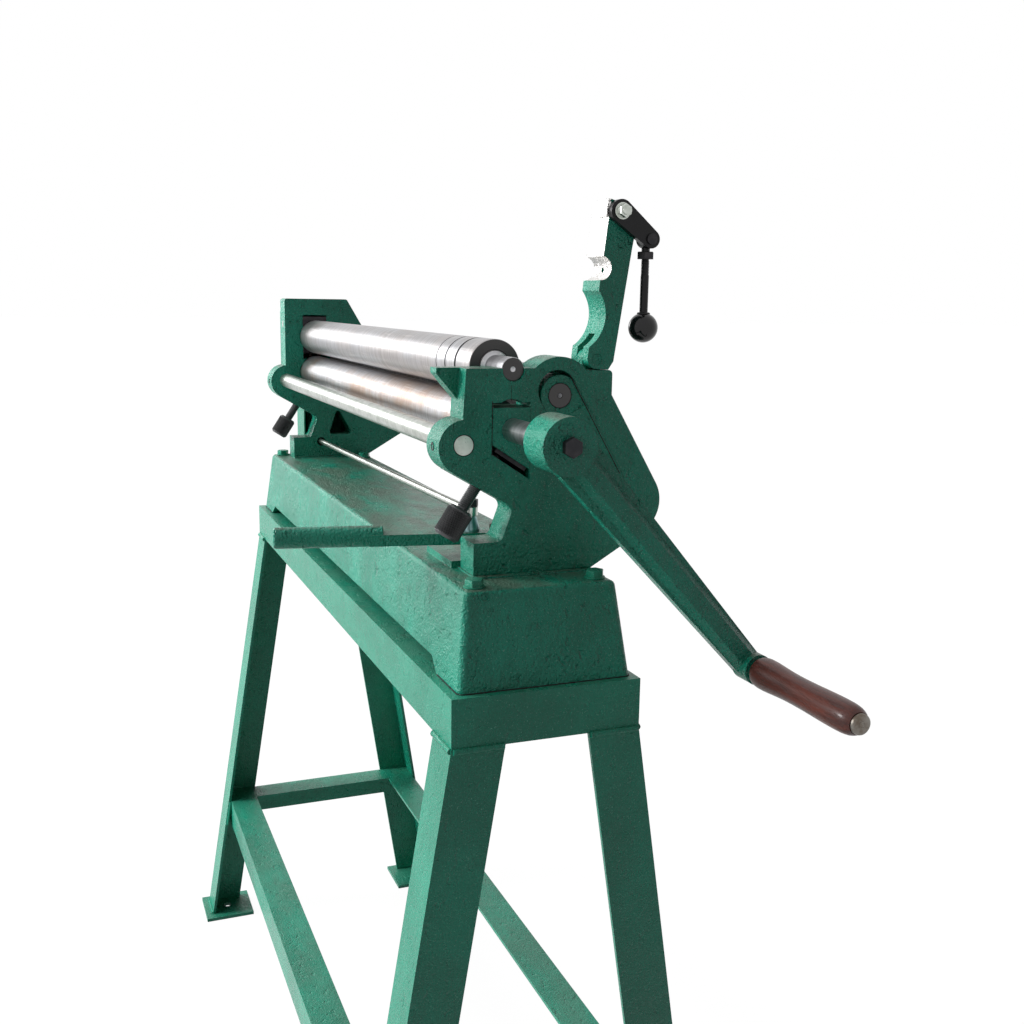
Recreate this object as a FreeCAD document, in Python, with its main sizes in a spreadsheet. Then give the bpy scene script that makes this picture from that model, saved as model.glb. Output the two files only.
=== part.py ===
"""Hand-cranked slip roll on a welded stand, built as separate pieces.

Frame: X runs along the rolls towards the crank, -Y is the operator's side and Z is up.
The origin is on the floor, in the middle of the four anchor holes.
Most outlines are drawn in the cross-section of the lower roll, whose axis is their zero.
"""

import FreeCAD, Part
import math
import os

import Sketcher
from FreeCAD import Placement, Rotation, Vector

SIZES = {
    # rolls, in millimetres from the machine's middle plane and the lower roll's axis
    "roll_axis_y": -11.0,
    "roll_axis_z": 1080.0,
    "roll_radius": 30.0,
    "roll_left": -495.5,
    "roll_right": 445.0,
    "upper_rise": 64.9,
    "rear_y": 54.0,
    "rear_z": 36.3,
    "journal_radius": 12.8,
    "rear_journal_radius": 13.8,
    "journal_inset": 3.5,
    "upper_tail": 2.0,
    "centre_radius": 2.6,
    "centre_depth": 4.0,
    "running_clearance": 0.05,
    "overlap": 1.0,
    "groove_first": 9.0,
    "groove_pitch": 10.0,
    "groove_half": 0.8,
    "groove_depth": 1.2,
    # side housings
    "housing_thick": 43.0,
    "right_shoulder": 16.0,
    "left_shoulder": 1.5,
    "foot_front": -44.0,
    "foot_base": -158.0,
    "foot_top": -122.0,
    "notch_foot_y": -12.0,
    "notch_y": 1.6,
    "notch_z": -84.7,
    "notch_round": 9.0,
    "web_y": -68.3,
    "web_z": -44.5,
    "front_edge": -57.0,
    "front_break_z": 18.0,
    "front_top_y": -54.0,
    "ear_y": -54.0,
    "ear_z": -17.5,
    "ear_radius": 30.0,
    "right_top": 66.0,
    "left_top": 134.0,
    "seat_z": 63.5,
    "corner_round": 5.0,
    "seat_back": 116.5,
    "back_drop": 36.0,
    "back_slope": 157.0,
    "lobe_round": 40.0,
    "boss_y": 53.5,
    "boss_z": 37.2,
    "boss_radius": 41.0,
    "gusset_tip": -80.0,
    "gusset_nose": 6.0,
    "gusset_foot": 33.0,
    "gusset_thick": 21.0,
    "triangle_top_y": 39.0,
    "triangle_top_z": -66.0,
    "triangle_front": 22.0,
    "triangle_back": 68.0,
    "triangle_base": -117.0,
    "triangle_round": 5.0,
    # windows, bearing blocks and front screws
    "window_front": -24.0,
    "window_back": 20.0,
    "right_window_top": 29.5,
    "left_window_top": 104.5,
    "window_relief": 4.0,
    "relief_radius": 20.0,
    "slide_gap": 0.3,
    "lower_block_top": 24.2,
    "swivel_block_foot": 34.8,
    "swivel_block_top": 101.6,
    "screw_angle": 57.0,
    "screw_offset": 5.5,
    "block_reach": 25.8,
    "window_reach": 34.8,
    "shoe_half_x": 20.0,
    "shoe_front": 10.5,
    "shoe_back": 31.0,
    "shoe_thick": 4.4,
    "shoe_pin_radius": 3.5,
    "shoe_pin_depth": 3.0,
    "front_screw_radius": 7.0,
    "front_knob_radius": 15.3,
    "front_knob_reach": 100.5,
    "front_knob_length": 36.0,
    "knob_chamfer": 1.5,
    # rear roll's slanted slots
    "slot_angle": 59.5,
    "slot_half": 22.5,
    "slot_rise": 6.0,
    "slot_drop": 120.0,
    "slider_foot": 40.0,
    "slider_pin_radius": 5.0,
    "slider_pin_depth": 8.0,
    "seat_gap": 0.1,
    "rear_screw_radius": 8.0,
    "rear_screw_end": 191.5,
    "rear_socket_radius": 4.6,
    "rear_socket_depth": 7.0,
    # tie bar
    "tie_y": -56.0,
    "tie_z": -15.0,
    "tie_radius": 12.4,
    "tie_end_radius": 10.8,
    # swivel of the upper roll and its lifting gear
    "swivel_z": 88.0,
    "swivel_pin_radius": 6.0,
    "swivel_pin_back": 80.0,
    "swivel_chamfer": 6.0,
    "hub_radius": 18.0,
    "hub_length": 4.4,
    "gear_gap": 5.0,
    "gear_width": 18.0,
    "gear_teeth": 12.0,
    "gear_tip_radius": 35.2,
    "gear_pitch_radius": 32.45,
    "gear_root_radius": 22.8,
    "gear_tip_half": 1.6,
    "gear_pitch_half": 2.8,
    "gear_root_half": 3.4,
    "gear_root_sink": 2.0,
    "tail_gap": 35.0,
    "tail_thick": 10.0,
    "tail_eye_radius": 20.0,
    "tail_half": 10.0,
    "tail_slot_radius": 5.8,
    "tail_slot_rise": 4.0,
    "tail_slot_drop": 1.0,
    "tail_margin": 9.0,
    # hand lever and its long rod
    "stud_inset": 37.0,
    "stud_y": -20.0,
    "stud_z": -101.0,
    "rod_tail": 52.0,
    "rod_run_y": 26.7,
    "rod_run_z": -28.9,
    "rod_run_x": 921.2,
    "rod_radius": 4.8,
    "rod_hole_radius": 8.0,
    "rod_eye_radius": 9.0,
    "rod_eye_thick": 10.0,
    "rod_eye_bore": 5.6,
    "rod_nut_radius": 8.0,
    "rod_nut_thick": 6.0,
    "rod_nut_gap": 1.0,
    "stud_radius": 5.0,
    "spacer_radius": 11.0,
    "spacer_rim": 3.0,
    "spacer_top_radius": 7.0,
    "spacer_gap": 0.6,
    "lever_arm": 32.0,
    "lever_angle": -100.4,
    "lever_top_z": -124.5,
    "lever_thick": 13.0,
    "lever_half": 14.0,
    "lever_flat_length": 148.0,
    "lever_length": 254.0,
    "lever_grip_radius": 12.0,
    "lever_grip_rise": 3.0,
    "lever_grip_round": 3.0,
    "post_radius": 9.0,
    "stud_head": 6.0,
    "stud_end": 3.0,
    "nut_flats": 17.0,
    "nut_thick": 8.0,
    # release arm and cam clamp, drawn with the arm closed on the upper journal
    "arm_open_angle": 96.8,
    "pivot_y": 97.3,
    "pivot_z": 75.2,
    "pivot_radius": 6.0,
    "arm_pin_inset": 0.5,
    "arm_foot": 11.6,
    "arm_heel": 15.1,
    "arm_heel_back": 9.6,
    "arm_shoulder_z": 95.2,
    "arm_back_y": -27.1,
    "arm_back_z": 99.2,
    "arm_crown_y": -39.2,
    "arm_crown_z": 100.0,
    "arm_nose_y": -69.5,
    "arm_nose_z": 93.3,
    "arm_tip_y": -73.5,
    "arm_under_z": 66.4,
    "arm_step_y": 80.0,
    "arm_boss_gap": 0.4,
    "oil_radius": 3.0,
    "hook_z": 62.9,
    "hook_gap": 0.4,
    "hook_thick": 20.0,
    "fork_ear": 14.0,
    "fork_depth": 27.3,
    "lug_gap": 0.25,
    "clamp_pin_y": -61.9,
    "clamp_pin_z": 77.1,
    "clamp_pin_radius": 5.0,
    "clamp_washer_radius": 9.0,
    "clamp_nut_flats": 13.0,
    "link_gap": 0.6,
    "link_thick": 8.0,
    "link_root_radius": 12.5,
    "link_end_radius": 10.0,
    "link_length": 46.2,
    "link_angle": -37.6,
    "cam_radius": 9.7,
    "cam_width": 10.0,
    "eye_pin_radius": 4.0,
    "eye_pin_head": 6.0,
    "handle_floor": 1.0,
    "handle_radius": 4.6,
    "handle_length": 82.0,
    "handle_nut_drop": 13.0,
    "ball_radius": 16.4,
    "ball_drop": 95.3,
    "ball_collar": 7.5,
    # crank
    "crank_reach": 151.0,
    "crank_boss_radius": 29.2,
    "crank_boss_length": 50.0,
    "crank_angle": -47.7,
    "crank_length": 330.0,
    "crank_root_half": 25.0,
    "crank_end_half": 15.0,
    "crank_arm_inset": 10.0,
    "crank_arm_thick": 14.0,
    "crank_rib_half": 15.0,
    "crank_rib_height": 8.0,
    "crank_rib_slope": 42.0,
    "crank_eye_radius": 16.5,
    "crank_eye_length": 26.0,
    "crank_eye_rise": 5.0,
    "spindle_radius": 6.0,
    "spindle_collar_radius": 9.5,
    "spindle_cap_radius": 10.5,
    "spindle_cap": 5.0,
    "cap_chamfer": 1.0,
    "crank_bolt_length": 28.0,
    "crank_wall": 3.0,
    "grip_collar": 4.0,
    "grip_length": 162.0,
    "grip_neck_radius": 10.5,
    "grip_bulge_radius": 17.0,
    # base casting
    "base_middle_y": 13.0,
    "base_top_z": -160.0,
    "base_foot_z": -264.0,
    "base_margin": 22.0,
    "base_flare_x": 18.0,
    "base_top_half_y": 87.0,
    "base_flare_y": 12.0,
    "base_wall": 10.0,
    "base_round": 7.0,
    "arch_foot": 75.0,
    "arch_slope": 22.0,
    "arch_rise": 15.0,
    "end_hole_radius": 4.0,
    "end_hole_depth": 8.0,
    "end_hole_y": -52.0,
    "end_hole_drop": 6.0,
    "pad_margin": 8.0,
    "pad_lip": 1.2,
    "land_length": 100.0,
    "land_front": -52.0,
    "land_back": 45.0,
    "land_rise": 8.0,
    "column_radius": 15.0,
    "bolt_inset": 19.0,
    "bolt_inner_gap": 27.0,
    "bolt_edge": 17.0,
    "bolt_radius": 6.0,
    "bolt_flats": 18.0,
    "bolt_head": 7.5,
    "washer_radius": 11.5,
    "washer_thick": 2.0,
    "foot_bolt_front": -24.0,
    "foot_bolt_back": 70.0,
    "foot_bolt_grip": 30.0,
    "foot_bolt_spare": 1.0,
    # gear cover
    "cover_depth": 65.0,
    "cover_wall": 2.5,
    "cover_round": 6.0,
    "cover_top": 114.0,
    "cover_half": 46.0,
    "cover_back": 72.0,
    "cover_shoulder": 60.0,
    "cover_foot": -156.0,
    "cover_front": -16.0,
    "cover_chin": -62.0,
    "cover_cheek": -42.0,
    "tab_thick": 4.0,
    "tab_half": 9.0,
    "tab_reach": 16.0,
    "tab_lower_z": -84.0,
    "tab_top_y": 30.0,
    "cover_screw_radius": 3.0,
    "cover_screw_head": 5.5,
    "cover_head_thick": 3.0,
    "cover_screw_length": 12.0,
    # stand
    "stand_margin_x": 10.0,
    "stand_margin_y": 9.0,
    "iron_thick": 5.0,
    "rail_width": 55.0,
    "leg_width": 60.0,
    "leg_splay": 0.158,
    "brace_width": 50.0,
    "brace_top": 239.0,
    "pad_side": 90.0,
    "pad_thick": 6.0,
    "anchor_radius": 7.0,
    "anchor_inset": 32.0,
}

document = FreeCAD.newDocument("slip_roll")
sheet = document.addObject("Spreadsheet::Sheet", "Sizes")
for row, (alias, number) in enumerate(SIZES.items(), start=1):
    sheet.set(f"A{row}", alias.replace("_", " "))
    sheet.set(f"B{row}", str(number))
    sheet.setAlias(f"B{row}", alias)
document.recompute()


class Size:
    """A number together with the spreadsheet expression that gives it."""

    def __init__(self, number, text):
        self.number = number
        self.text = text

    def __add__(self, other):
        other = size_of(other)
        return Size(self.number + other.number, f"({self.text} + {other.text})")

    def __sub__(self, other):
        other = size_of(other)
        return Size(self.number - other.number, f"({self.text} - {other.text})")

    def __mul__(self, other):
        other = size_of(other)
        return Size(self.number * other.number, f"({self.text} * {other.text})")

    def __truediv__(self, other):
        other = size_of(other)
        return Size(self.number / other.number, f"({self.text} / {other.text})")

    def __neg__(self):
        return Size(-self.number, f"(0 - {self.text})")

    def __radd__(self, other):
        return size_of(other) + self

    def __rsub__(self, other):
        return size_of(other) - self

    def __rmul__(self, other):
        return size_of(other) * self

    def __rtruediv__(self, other):
        return size_of(other) / self


class Sheet:
    """Gives each cell of the sheet as a Size, by its alias."""

    def __getattr__(self, alias):
        return Size(float(SIZES[alias]), f"Sizes.{alias}")


S = Sheet()
ZERO = Size(0.0, "0")


def size_of(value):
    return value if isinstance(value, Size) else Size(float(value), repr(float(value)))


def sine(angle):
    return Size(math.sin(math.radians(angle.number)), f"sin({angle.text} * 1 deg)")


def cosine(angle):
    return Size(math.cos(math.radians(angle.number)), f"cos({angle.text} * 1 deg)")


def bind(item, path, size):
    item.setExpression(path, size_of(size).text)


def place(item, x=ZERO, y=ZERO, z=ZERO, turn=None, axis=Vector(1, 0, 0)):
    """Puts an object at a point, turned about one axis by a bound angle in degrees."""
    angle = size_of(turn).number if turn is not None else 0.0
    point = Vector(*(size_of(c).number for c in (x, y, z)))
    item.Placement = Placement(point, Rotation(axis, angle))
    for name, size in zip("xyz", (x, y, z)):
        bind(item, f"Placement.Base.{name}", size)
    if turn is not None:
        bind(item, "Placement.Rotation.Angle", turn)


def new_body(label, x=ZERO, y=ZERO, z=ZERO, turn=None, axis=Vector(1, 0, 0)):
    body = document.addObject("PartDesign::Body", "Body")
    body.Label = label
    place(body, x, y, z, turn, axis)
    return body


def section_body(label, x, turn=None):
    """A body whose sketches are drawn from the lower roll's axis."""
    return new_body(label, x, S.roll_axis_y, S.roll_axis_z, turn)


def new_sketch(body, role, offset=(ZERO, ZERO, ZERO), turn=None, axis=Vector(0, 0, 1)):
    plane = next(item for item in body.Origin.OriginFeatures if item.Role == role)
    sketch = body.newObject("Sketcher::SketchObject", "Sketch")
    sketch.AttachmentSupport = [(plane, "")]
    sketch.MapMode = "FlatFace"
    angle = size_of(turn).number if turn is not None else 0.0
    point = Vector(*(size_of(c).number for c in offset))
    sketch.AttachmentOffset = Placement(point, Rotation(axis, angle))
    for name, size in zip("xyz", offset):
        bind(sketch, f"AttachmentOffset.Base.{name}", size)
    if turn is not None:
        bind(sketch, "AttachmentOffset.Rotation.Angle", turn)
    return sketch


def fix_point(sketch, shape, end, x, y):
    """Holds one end of a line, or a circle's centre, at bound distances from the origin."""
    for kind, axis, size in (("DistanceX", -2, x), ("DistanceY", -1, y)):
        size = size_of(size)
        if abs(size.number) < 1e-9:
            sketch.addConstraint(Sketcher.Constraint("PointOnObject", shape, end, axis))
            continue
        index = sketch.addConstraint(Sketcher.Constraint(kind, -1, 1, shape, end, size.number))
        bind(sketch, f"Constraints[{index}]", size)


def polygon(sketch, points):
    points = [(size_of(x), size_of(y)) for x, y in points]
    start = sketch.GeometryCount
    corners = [Vector(x.number, y.number, 0) for x, y in points]
    lines = [Part.LineSegment(a, b) for a, b in zip(corners, corners[1:] + corners[:1])]
    sketch.addGeometry(lines, False)
    for i in range(len(lines)):
        j = (i + 1) % len(lines)
        sketch.addConstraint(Sketcher.Constraint("Coincident", start + i, 2, start + j, 1))
    for i, (x, y) in enumerate(points):
        fix_point(sketch, start + i, 1, x, y)
    return sketch


def circle(sketch, x, y, radius):
    x, y, radius = size_of(x), size_of(y), size_of(radius)
    index = sketch.addGeometry(Part.Circle(Vector(x.number, y.number, 0), Vector(0, 0, 1), radius.number))
    fix_point(sketch, index, 3, x, y)
    held = sketch.addConstraint(Sketcher.Constraint("Radius", index, radius.number))
    bind(sketch, f"Constraints[{held}]", radius)
    return sketch


def box_outline(sketch, x_low, x_high, y_low, y_high):
    return polygon(sketch, [(x_low, y_low), (x_high, y_low), (x_high, y_high), (x_low, y_high)])


def hexagon(sketch, x, y, flats):
    """A regular hexagon with two corners on the sketch's X direction."""
    corner = size_of(flats) / math.sqrt(3)
    points = []
    for i in range(6):
        angle = math.radians(60 * i)
        points.append((x + corner * math.cos(angle), y + corner * math.sin(angle)))
    return polygon(sketch, points)


def pad(body, sketch, length, back=False):
    feature = body.newObject("PartDesign::Pad", "Pad")
    feature.Profile = sketch
    feature.Reversed = back
    bind(feature, "Length", length)
    sketch.Visibility = False
    return feature


def pocket(body, sketch, length=None, back=False):
    feature = body.newObject("PartDesign::Pocket", "Pocket")
    feature.Profile = sketch
    feature.Reversed = back
    if length is None:
        feature.Type = 1
    else:
        bind(feature, "Length", length)
    return feature


def revolve(body, points, role="XZ_Plane", axis="H_Axis", cut=False):
    sketch = polygon(new_sketch(body, role), points)
    kind = "PartDesign::Groove" if cut else "PartDesign::Revolution"
    feature = body.newObject(kind, "Turned")
    feature.Profile = sketch
    feature.ReferenceAxis = (sketch, [axis])
    feature.Angle = 360
    return feature


def edges_at(feature, points):
    """Names of the edges whose middles lie nearest to the given points."""
    names = []
    edges = feature.Shape.Edges
    for point in points:
        wanted = Vector(*(size_of(c).number for c in point))
        gaps = [(e.valueAt((e.FirstParameter + e.LastParameter) / 2) - wanted).Length for e in edges]
        names.append(f"Edge{gaps.index(min(gaps)) + 1}")
    return names


def round_edges(body, points, radius, kind="PartDesign::Fillet"):
    document.recompute()
    base = body.Tip
    feature = body.newObject(kind, "Rounded")
    feature.Base = (base, edges_at(base, points))
    bind(feature, "Radius" if kind.endswith("Fillet") else "Size", radius)
    return feature


def bore(body, x, y, radius, length=None, offset=ZERO):
    """A round hole along X through the pieces that are drawn in the cross-section."""
    sketch = circle(new_sketch(body, "YZ_Plane", (ZERO, ZERO, offset)), x, y, radius)
    return pocket(body, sketch, length)


def cylinder(radius, length, x, y, z, turn=None, axis=Vector(1, 0, 0)):
    item = document.addObject("Part::Cylinder", "Cylinder")
    bind(item, "Radius", radius)
    bind(item, "Height", length)
    place(item, x, y, z, turn, axis)
    return item


def hex_prism(flats, length, x, y, z, turn=None, axis=Vector(1, 0, 0)):
    item = document.addObject("Part::Prism", "Hexagon")
    item.Polygon = 6
    bind(item, "Circumradius", size_of(flats) / math.sqrt(3))
    bind(item, "Height", length)
    place(item, x, y, z, turn, axis)
    return item


def fuse(parts):
    item = document.addObject("Part::MultiFuse", "Joined")
    item.Shapes = parts
    return item


def group(label, parts):
    """Identical separate pieces that share one node."""
    item = document.addObject("Part::Compound", "Group")
    item.Links = parts
    item.Label = label
    return item


ALONG_X = Vector(0, 1, 0)
QUARTER = 90

# ---------------------------------------------------------------- places worked out once
right_inner = S.roll_right + S.right_shoulder
right_face = right_inner + S.housing_thick
right_middle = right_face - S.housing_thick / 2
left_face = S.roll_left - S.left_shoulder
left_outer = left_face - S.housing_thick
left_middle = left_face - S.housing_thick / 2
crank_face = right_face + S.crank_reach
crank_eye_face = crank_face + S.crank_eye_rise
stud_x = right_inner - S.stud_inset
base_top_half_x = S.base_margin - left_outer
base_foot_half_x = base_top_half_x + S.base_flare_x
base_foot_half_y = S.base_top_half_y + S.base_flare_y
stand_half_x = base_foot_half_x + S.stand_margin_x
stand_half_y = base_foot_half_y + S.stand_margin_y
slope_x = cosine(S.slot_angle)
slope_z = sine(S.slot_angle)
screw_x = cosine(S.screw_angle)
screw_z = sine(S.screw_angle)
lobe_y = S.seat_back + S.back_slope * slope_x
lobe_z = S.back_drop - S.back_slope * slope_z
heel_y = lobe_y - (lobe_z - S.foot_base) / slope_x * slope_z
journal_bore = S.journal_radius + S.running_clearance
rear_bore = S.rear_journal_radius + S.running_clearance
rod_y = S.rod_run_y / S.rod_run_x
rod_z = S.rod_run_z / S.rod_run_x
slot_turn = 90 - S.slot_angle
screw_turn = S.screw_angle - 90
stand_top = S.roll_axis_z + S.base_foot_z
rail_foot = stand_top - S.rail_width
foot_y = stand_half_y + S.leg_splay * (rail_foot - S.pad_thick)
brace_y = stand_half_y + S.leg_splay * (rail_foot - S.brace_top) - S.iron_thick
anchor_x = stand_half_x - S.anchor_inset
anchor_y = foot_y - S.anchor_inset
lever_pivot_x = stud_x - S.lever_arm * cosine(S.lever_angle)
lever_pivot_y = S.stud_y - S.lever_arm * sine(S.lever_angle)


# ---------------------------------------------------------------- stand
def angle_iron(label, along, half_length, outer, top, width, side, cope=None):
    """A length of angle iron whose flanges face outwards and upwards.

    along is the axis it runs on, and side is the sign of its place on the other axis.
    cope is how far both ends are cut down by one thickness, to pass under their neighbours.
    """
    body = new_body(label, ZERO, ZERO, top)
    wide = outer - width
    thin = outer - S.iron_thick
    profile = [
        (side * outer, ZERO),
        (side * wide, ZERO),
        (side * wide, -S.iron_thick),
        (side * thin, -S.iron_thick),
        (side * thin, -width),
        (side * outer, -width),
    ]
    role = "YZ_Plane" if along == "X" else "XZ_Plane"
    sketch = polygon(new_sketch(body, role, (ZERO, ZERO, -half_length)), profile)
    pad(body, sketch, half_length * 2)
    if cope is None:
        return body
    for end in (-1, 1):
        sketch = new_sketch(body, "XY_Plane")
        inner = end * (half_length - cope)
        tip = end * (half_length + S.overlap)
        box_outline(sketch, side * (outer - width - S.overlap), side * (outer + S.overlap), inner, tip)
        pocket(body, sketch, S.iron_thick)
    return body


# the back bolt by the left housing stands inside it, clear of the housing's heel
end_bolt_x = base_top_half_x - S.bolt_inset
bolt_half_y = S.base_top_half_y - S.bolt_edge
bolt_rows = {-1: (-end_bolt_x, end_bolt_x), 1: (left_face + S.bolt_inner_gap, end_bolt_x)}
rail_cope = S.rail_width - S.iron_thick
for label, side in (("rail_front", -1), ("rail_back", 1)):
    rail = angle_iron(label, "X", stand_half_x, stand_half_y, stand_top, S.rail_width, side)
    for bolt_x in bolt_rows[side]:
        hole = new_sketch(rail, "XY_Plane")
        hole_y = S.roll_axis_y + S.base_middle_y + side * bolt_half_y
        circle(hole, bolt_x, hole_y, S.bolt_radius + S.running_clearance)
        pocket(rail, hole, S.iron_thick)
rail_inside = stand_half_y - S.iron_thick
angle_iron("rail_left", "Y", rail_inside, stand_half_x, stand_top, S.rail_width, -1, rail_cope)
angle_iron("rail_right", "Y", rail_inside, stand_half_x, stand_top, S.rail_width, 1, rail_cope)

brace_end = stand_half_x - S.iron_thick
brace_cope = S.brace_width - S.iron_thick
brace_inside = brace_y - S.iron_thick
angle_iron("brace_front", "X", brace_end, brace_y, S.brace_top, S.brace_width, -1)
angle_iron("brace_back", "X", brace_end, brace_y, S.brace_top, S.brace_width, 1)
angle_iron("brace_left", "Y", brace_inside, brace_end, S.brace_top, S.brace_width, -1, brace_cope)
angle_iron("brace_right", "Y", brace_inside, brace_end, S.brace_top, S.brace_width, 1, brace_cope)

for side_x, name_x in ((-1, "left"), (1, "right")):
    for side_y, name_y in ((-1, "front"), (1, "back")):
        leg = new_body(f"leg_{name_y}_{name_x}", ZERO, ZERO, rail_foot)
        outer_x = side_x * stand_half_x
        outer_y = side_y * stand_half_y
        web_x = side_x * (stand_half_x - S.iron_thick)
        web_y = side_y * (stand_half_y - S.iron_thick)
        tip_x = side_x * (stand_half_x - S.leg_width)
        tip_y = side_y * (stand_half_y - S.leg_width)
        outline = [
            (outer_x, outer_y),
            (tip_x, outer_y),
            (tip_x, web_y),
            (web_x, web_y),
            (web_x, tip_y),
            (outer_x, tip_y),
        ]
        leg_drop = rail_foot - S.pad_thick
        shank = pad(leg, polygon(new_sketch(leg, "XY_Plane"), outline), leg_drop)
        shank.UseCustomVector = True
        shank.Direction = Vector(0, side_y * S.leg_splay.number, -1)
        bind(shank, "Direction.y", side_y * S.leg_splay)
        shank.AlongSketchNormal = True

pads = []
for side_x in (-1, 1):
    for side_y in (-1, 1):
        plate = document.addObject("Part::Box", "Plate")
        bind(plate, "Length", S.pad_side)
        bind(plate, "Width", S.pad_side)
        bind(plate, "Height", S.pad_thick)
        place(plate, side_x * anchor_x - S.pad_side / 2, side_y * anchor_y - S.pad_side / 2, ZERO)
        hole = cylinder(S.anchor_radius, S.pad_thick, side_x * anchor_x, side_y * anchor_y, ZERO)
        drilled = document.addObject("Part::Cut", "Drilled")
        drilled.Base = plate
        drilled.Tool = hole
        pads.append(drilled)
group("foot_pads", pads)

# ---------------------------------------------------------------- base casting
base = section_body("base_casting", ZERO)
base_low = S.base_middle_y - base_foot_half_y
base_high = S.base_middle_y + base_foot_half_y
top_low = S.base_middle_y - S.base_top_half_y
top_high = S.base_middle_y + S.base_top_half_y


def base_profile(sketch, wall, top_wall):
    """The base's cross-section, with its sides drawn in by the thickness of a wall."""
    return polygon(
        sketch,
        [
            (base_low + wall, S.base_foot_z),
            (base_high - wall, S.base_foot_z),
            (top_high - wall, S.base_top_z - top_wall),
            (top_low + wall, S.base_top_z - top_wall),
        ],
    )


block = base_profile(new_sketch(base, "YZ_Plane", (ZERO, ZERO, -base_foot_half_x)), ZERO, ZERO)
pad(base, block, base_foot_half_x * 2)
base_front = (ZERO, ZERO, base_foot_half_y * 2)
for end in (-1, 1):
    slope = [
        (end * base_top_half_x, S.base_top_z),
        (end * base_foot_half_x, S.base_foot_z),
        (end * (base_foot_half_x + S.overlap), S.base_foot_z),
        (end * (base_foot_half_x + S.overlap), S.base_top_z),
    ]
    pocket(base, polygon(new_sketch(base, "XZ_Plane", base_front), slope))
base_mid_z = (S.base_foot_z + S.base_top_z) / 2
base_mid_x = (base_foot_half_x + base_top_half_x) / 2
base_mid_half_y = (base_foot_half_y + S.base_top_half_y) / 2
upright = []
for side_x in (-1, 1):
    for side_y in (-1, 1):
        upright.append((side_x * base_mid_x, S.base_middle_y + side_y * base_mid_half_y, base_mid_z))
rim = [(ZERO, top_low, S.base_top_z), (ZERO, top_high, S.base_top_z)]
rim += [(side_x * base_top_half_x, S.base_middle_y, S.base_top_z) for side_x in (-1, 1)]
round_edges(base, upright + rim, S.base_round)
hollow_end = base_top_half_x - S.base_wall
hollow = new_sketch(base, "YZ_Plane", (ZERO, ZERO, hollow_end))
pocket(base, base_profile(hollow, S.base_wall, S.base_wall), hollow_end * 2)
arch = new_sketch(base, "XZ_Plane", base_front)
arch_low = base_foot_half_x - S.arch_foot
arch_high = arch_low - S.arch_slope
arch_top = S.base_foot_z + S.arch_rise
arch_shape = [
    (-arch_low, S.base_foot_z),
    (arch_low, S.base_foot_z),
    (arch_high, arch_top),
    (-arch_high, arch_top),
]
pocket(base, polygon(arch, arch_shape))
end_hole_z = S.base_top_z - S.end_hole_drop
end_hole = new_sketch(base, "YZ_Plane", (ZERO, ZERO, base_foot_half_x))
circle(end_hole, S.end_hole_y, end_hole_z, S.end_hole_radius)
pocket(base, end_hole, S.base_flare_x + S.end_hole_depth)
bolt_places = []
for side_y, row in bolt_rows.items():
    for bolt_x in row:
        bolt_places.append((bolt_x, S.base_middle_y + side_y * bolt_half_y))
for x, y in bolt_places:
    column = circle(new_sketch(base, "XY_Plane", (ZERO, ZERO, S.base_foot_z)), x, y, S.column_radius)
    pad(base, column, S.base_top_z - S.base_foot_z - S.base_wall / 2)
for x in (right_middle, left_middle):
    half = S.housing_thick / 2 + S.pad_margin
    seat = new_sketch(base, "XY_Plane", (ZERO, ZERO, S.base_top_z))
    box_outline(seat, x - half, x + half, S.foot_front - S.pad_lip, heel_y)
    pad(base, seat, S.foot_base - S.base_top_z)
land = new_sketch(base, "XY_Plane", (ZERO, ZERO, S.base_top_z))
box_outline(land, right_inner - S.land_length, right_inner - S.pad_margin, S.land_front, S.land_back)
pad(base, land, S.land_rise)
bolt_hole = S.bolt_radius + S.slide_gap
hole_top = S.base_top_z + S.land_rise + S.overlap
for x, y in bolt_places:
    pocket(base, circle(new_sketch(base, "XY_Plane", (ZERO, ZERO, hole_top)), x, y, bolt_hole))
foot_bolts = []
for x in (right_middle, left_middle):
    for y in (S.foot_bolt_front, S.foot_bolt_back):
        foot_bolts.append((x, y))
        pocket(base, circle(new_sketch(base, "XY_Plane", (ZERO, ZERO, hole_top)), x, y, bolt_hole))
pivot_hole = new_sketch(base, "XY_Plane", (ZERO, ZERO, hole_top))
circle(pivot_hole, lever_pivot_x, lever_pivot_y, S.stud_radius + S.running_clearance)
pocket(base, pivot_hole)

axis_z = S.roll_axis_z
axis_y = S.roll_axis_y
bolts = []
for x, y in bolt_places:
    top = axis_z + S.base_top_z
    shank_length = S.base_top_z - S.base_foot_z + S.iron_thick
    bolts.append(
        fuse(
            [
                cylinder(S.bolt_radius, shank_length, x, axis_y + y, top - shank_length),
                cylinder(S.washer_radius, S.washer_thick, x, axis_y + y, top),
                hex_prism(S.bolt_flats, S.bolt_head, x, axis_y + y, top + S.washer_thick),
            ]
        )
    )
group("base_bolts", bolts)
bolts = []
for x, y in foot_bolts:
    under = axis_z + S.base_top_z - S.base_wall
    grip = S.base_wall + S.foot_base - S.base_top_z + S.foot_bolt_grip
    bolts.append(
        fuse(
            [
                cylinder(S.bolt_radius, grip, x, axis_y + y, under),
                hex_prism(S.bolt_flats, S.bolt_head, x, axis_y + y, under - S.bolt_head),
            ]
        )
    )
group("housing_bolts", bolts)


# ---------------------------------------------------------------- side housings
def line_foot(y, reach):
    """Height of the line square to the front screw, at a depth y and a distance below the axis."""
    return (-reach - y * screw_x) / screw_z


def rod_point(x):
    """Depth and height of the long rod at a place along the machine."""
    run = stud_x - x
    return S.stud_y + run * rod_y, S.stud_z + run * rod_z


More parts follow.
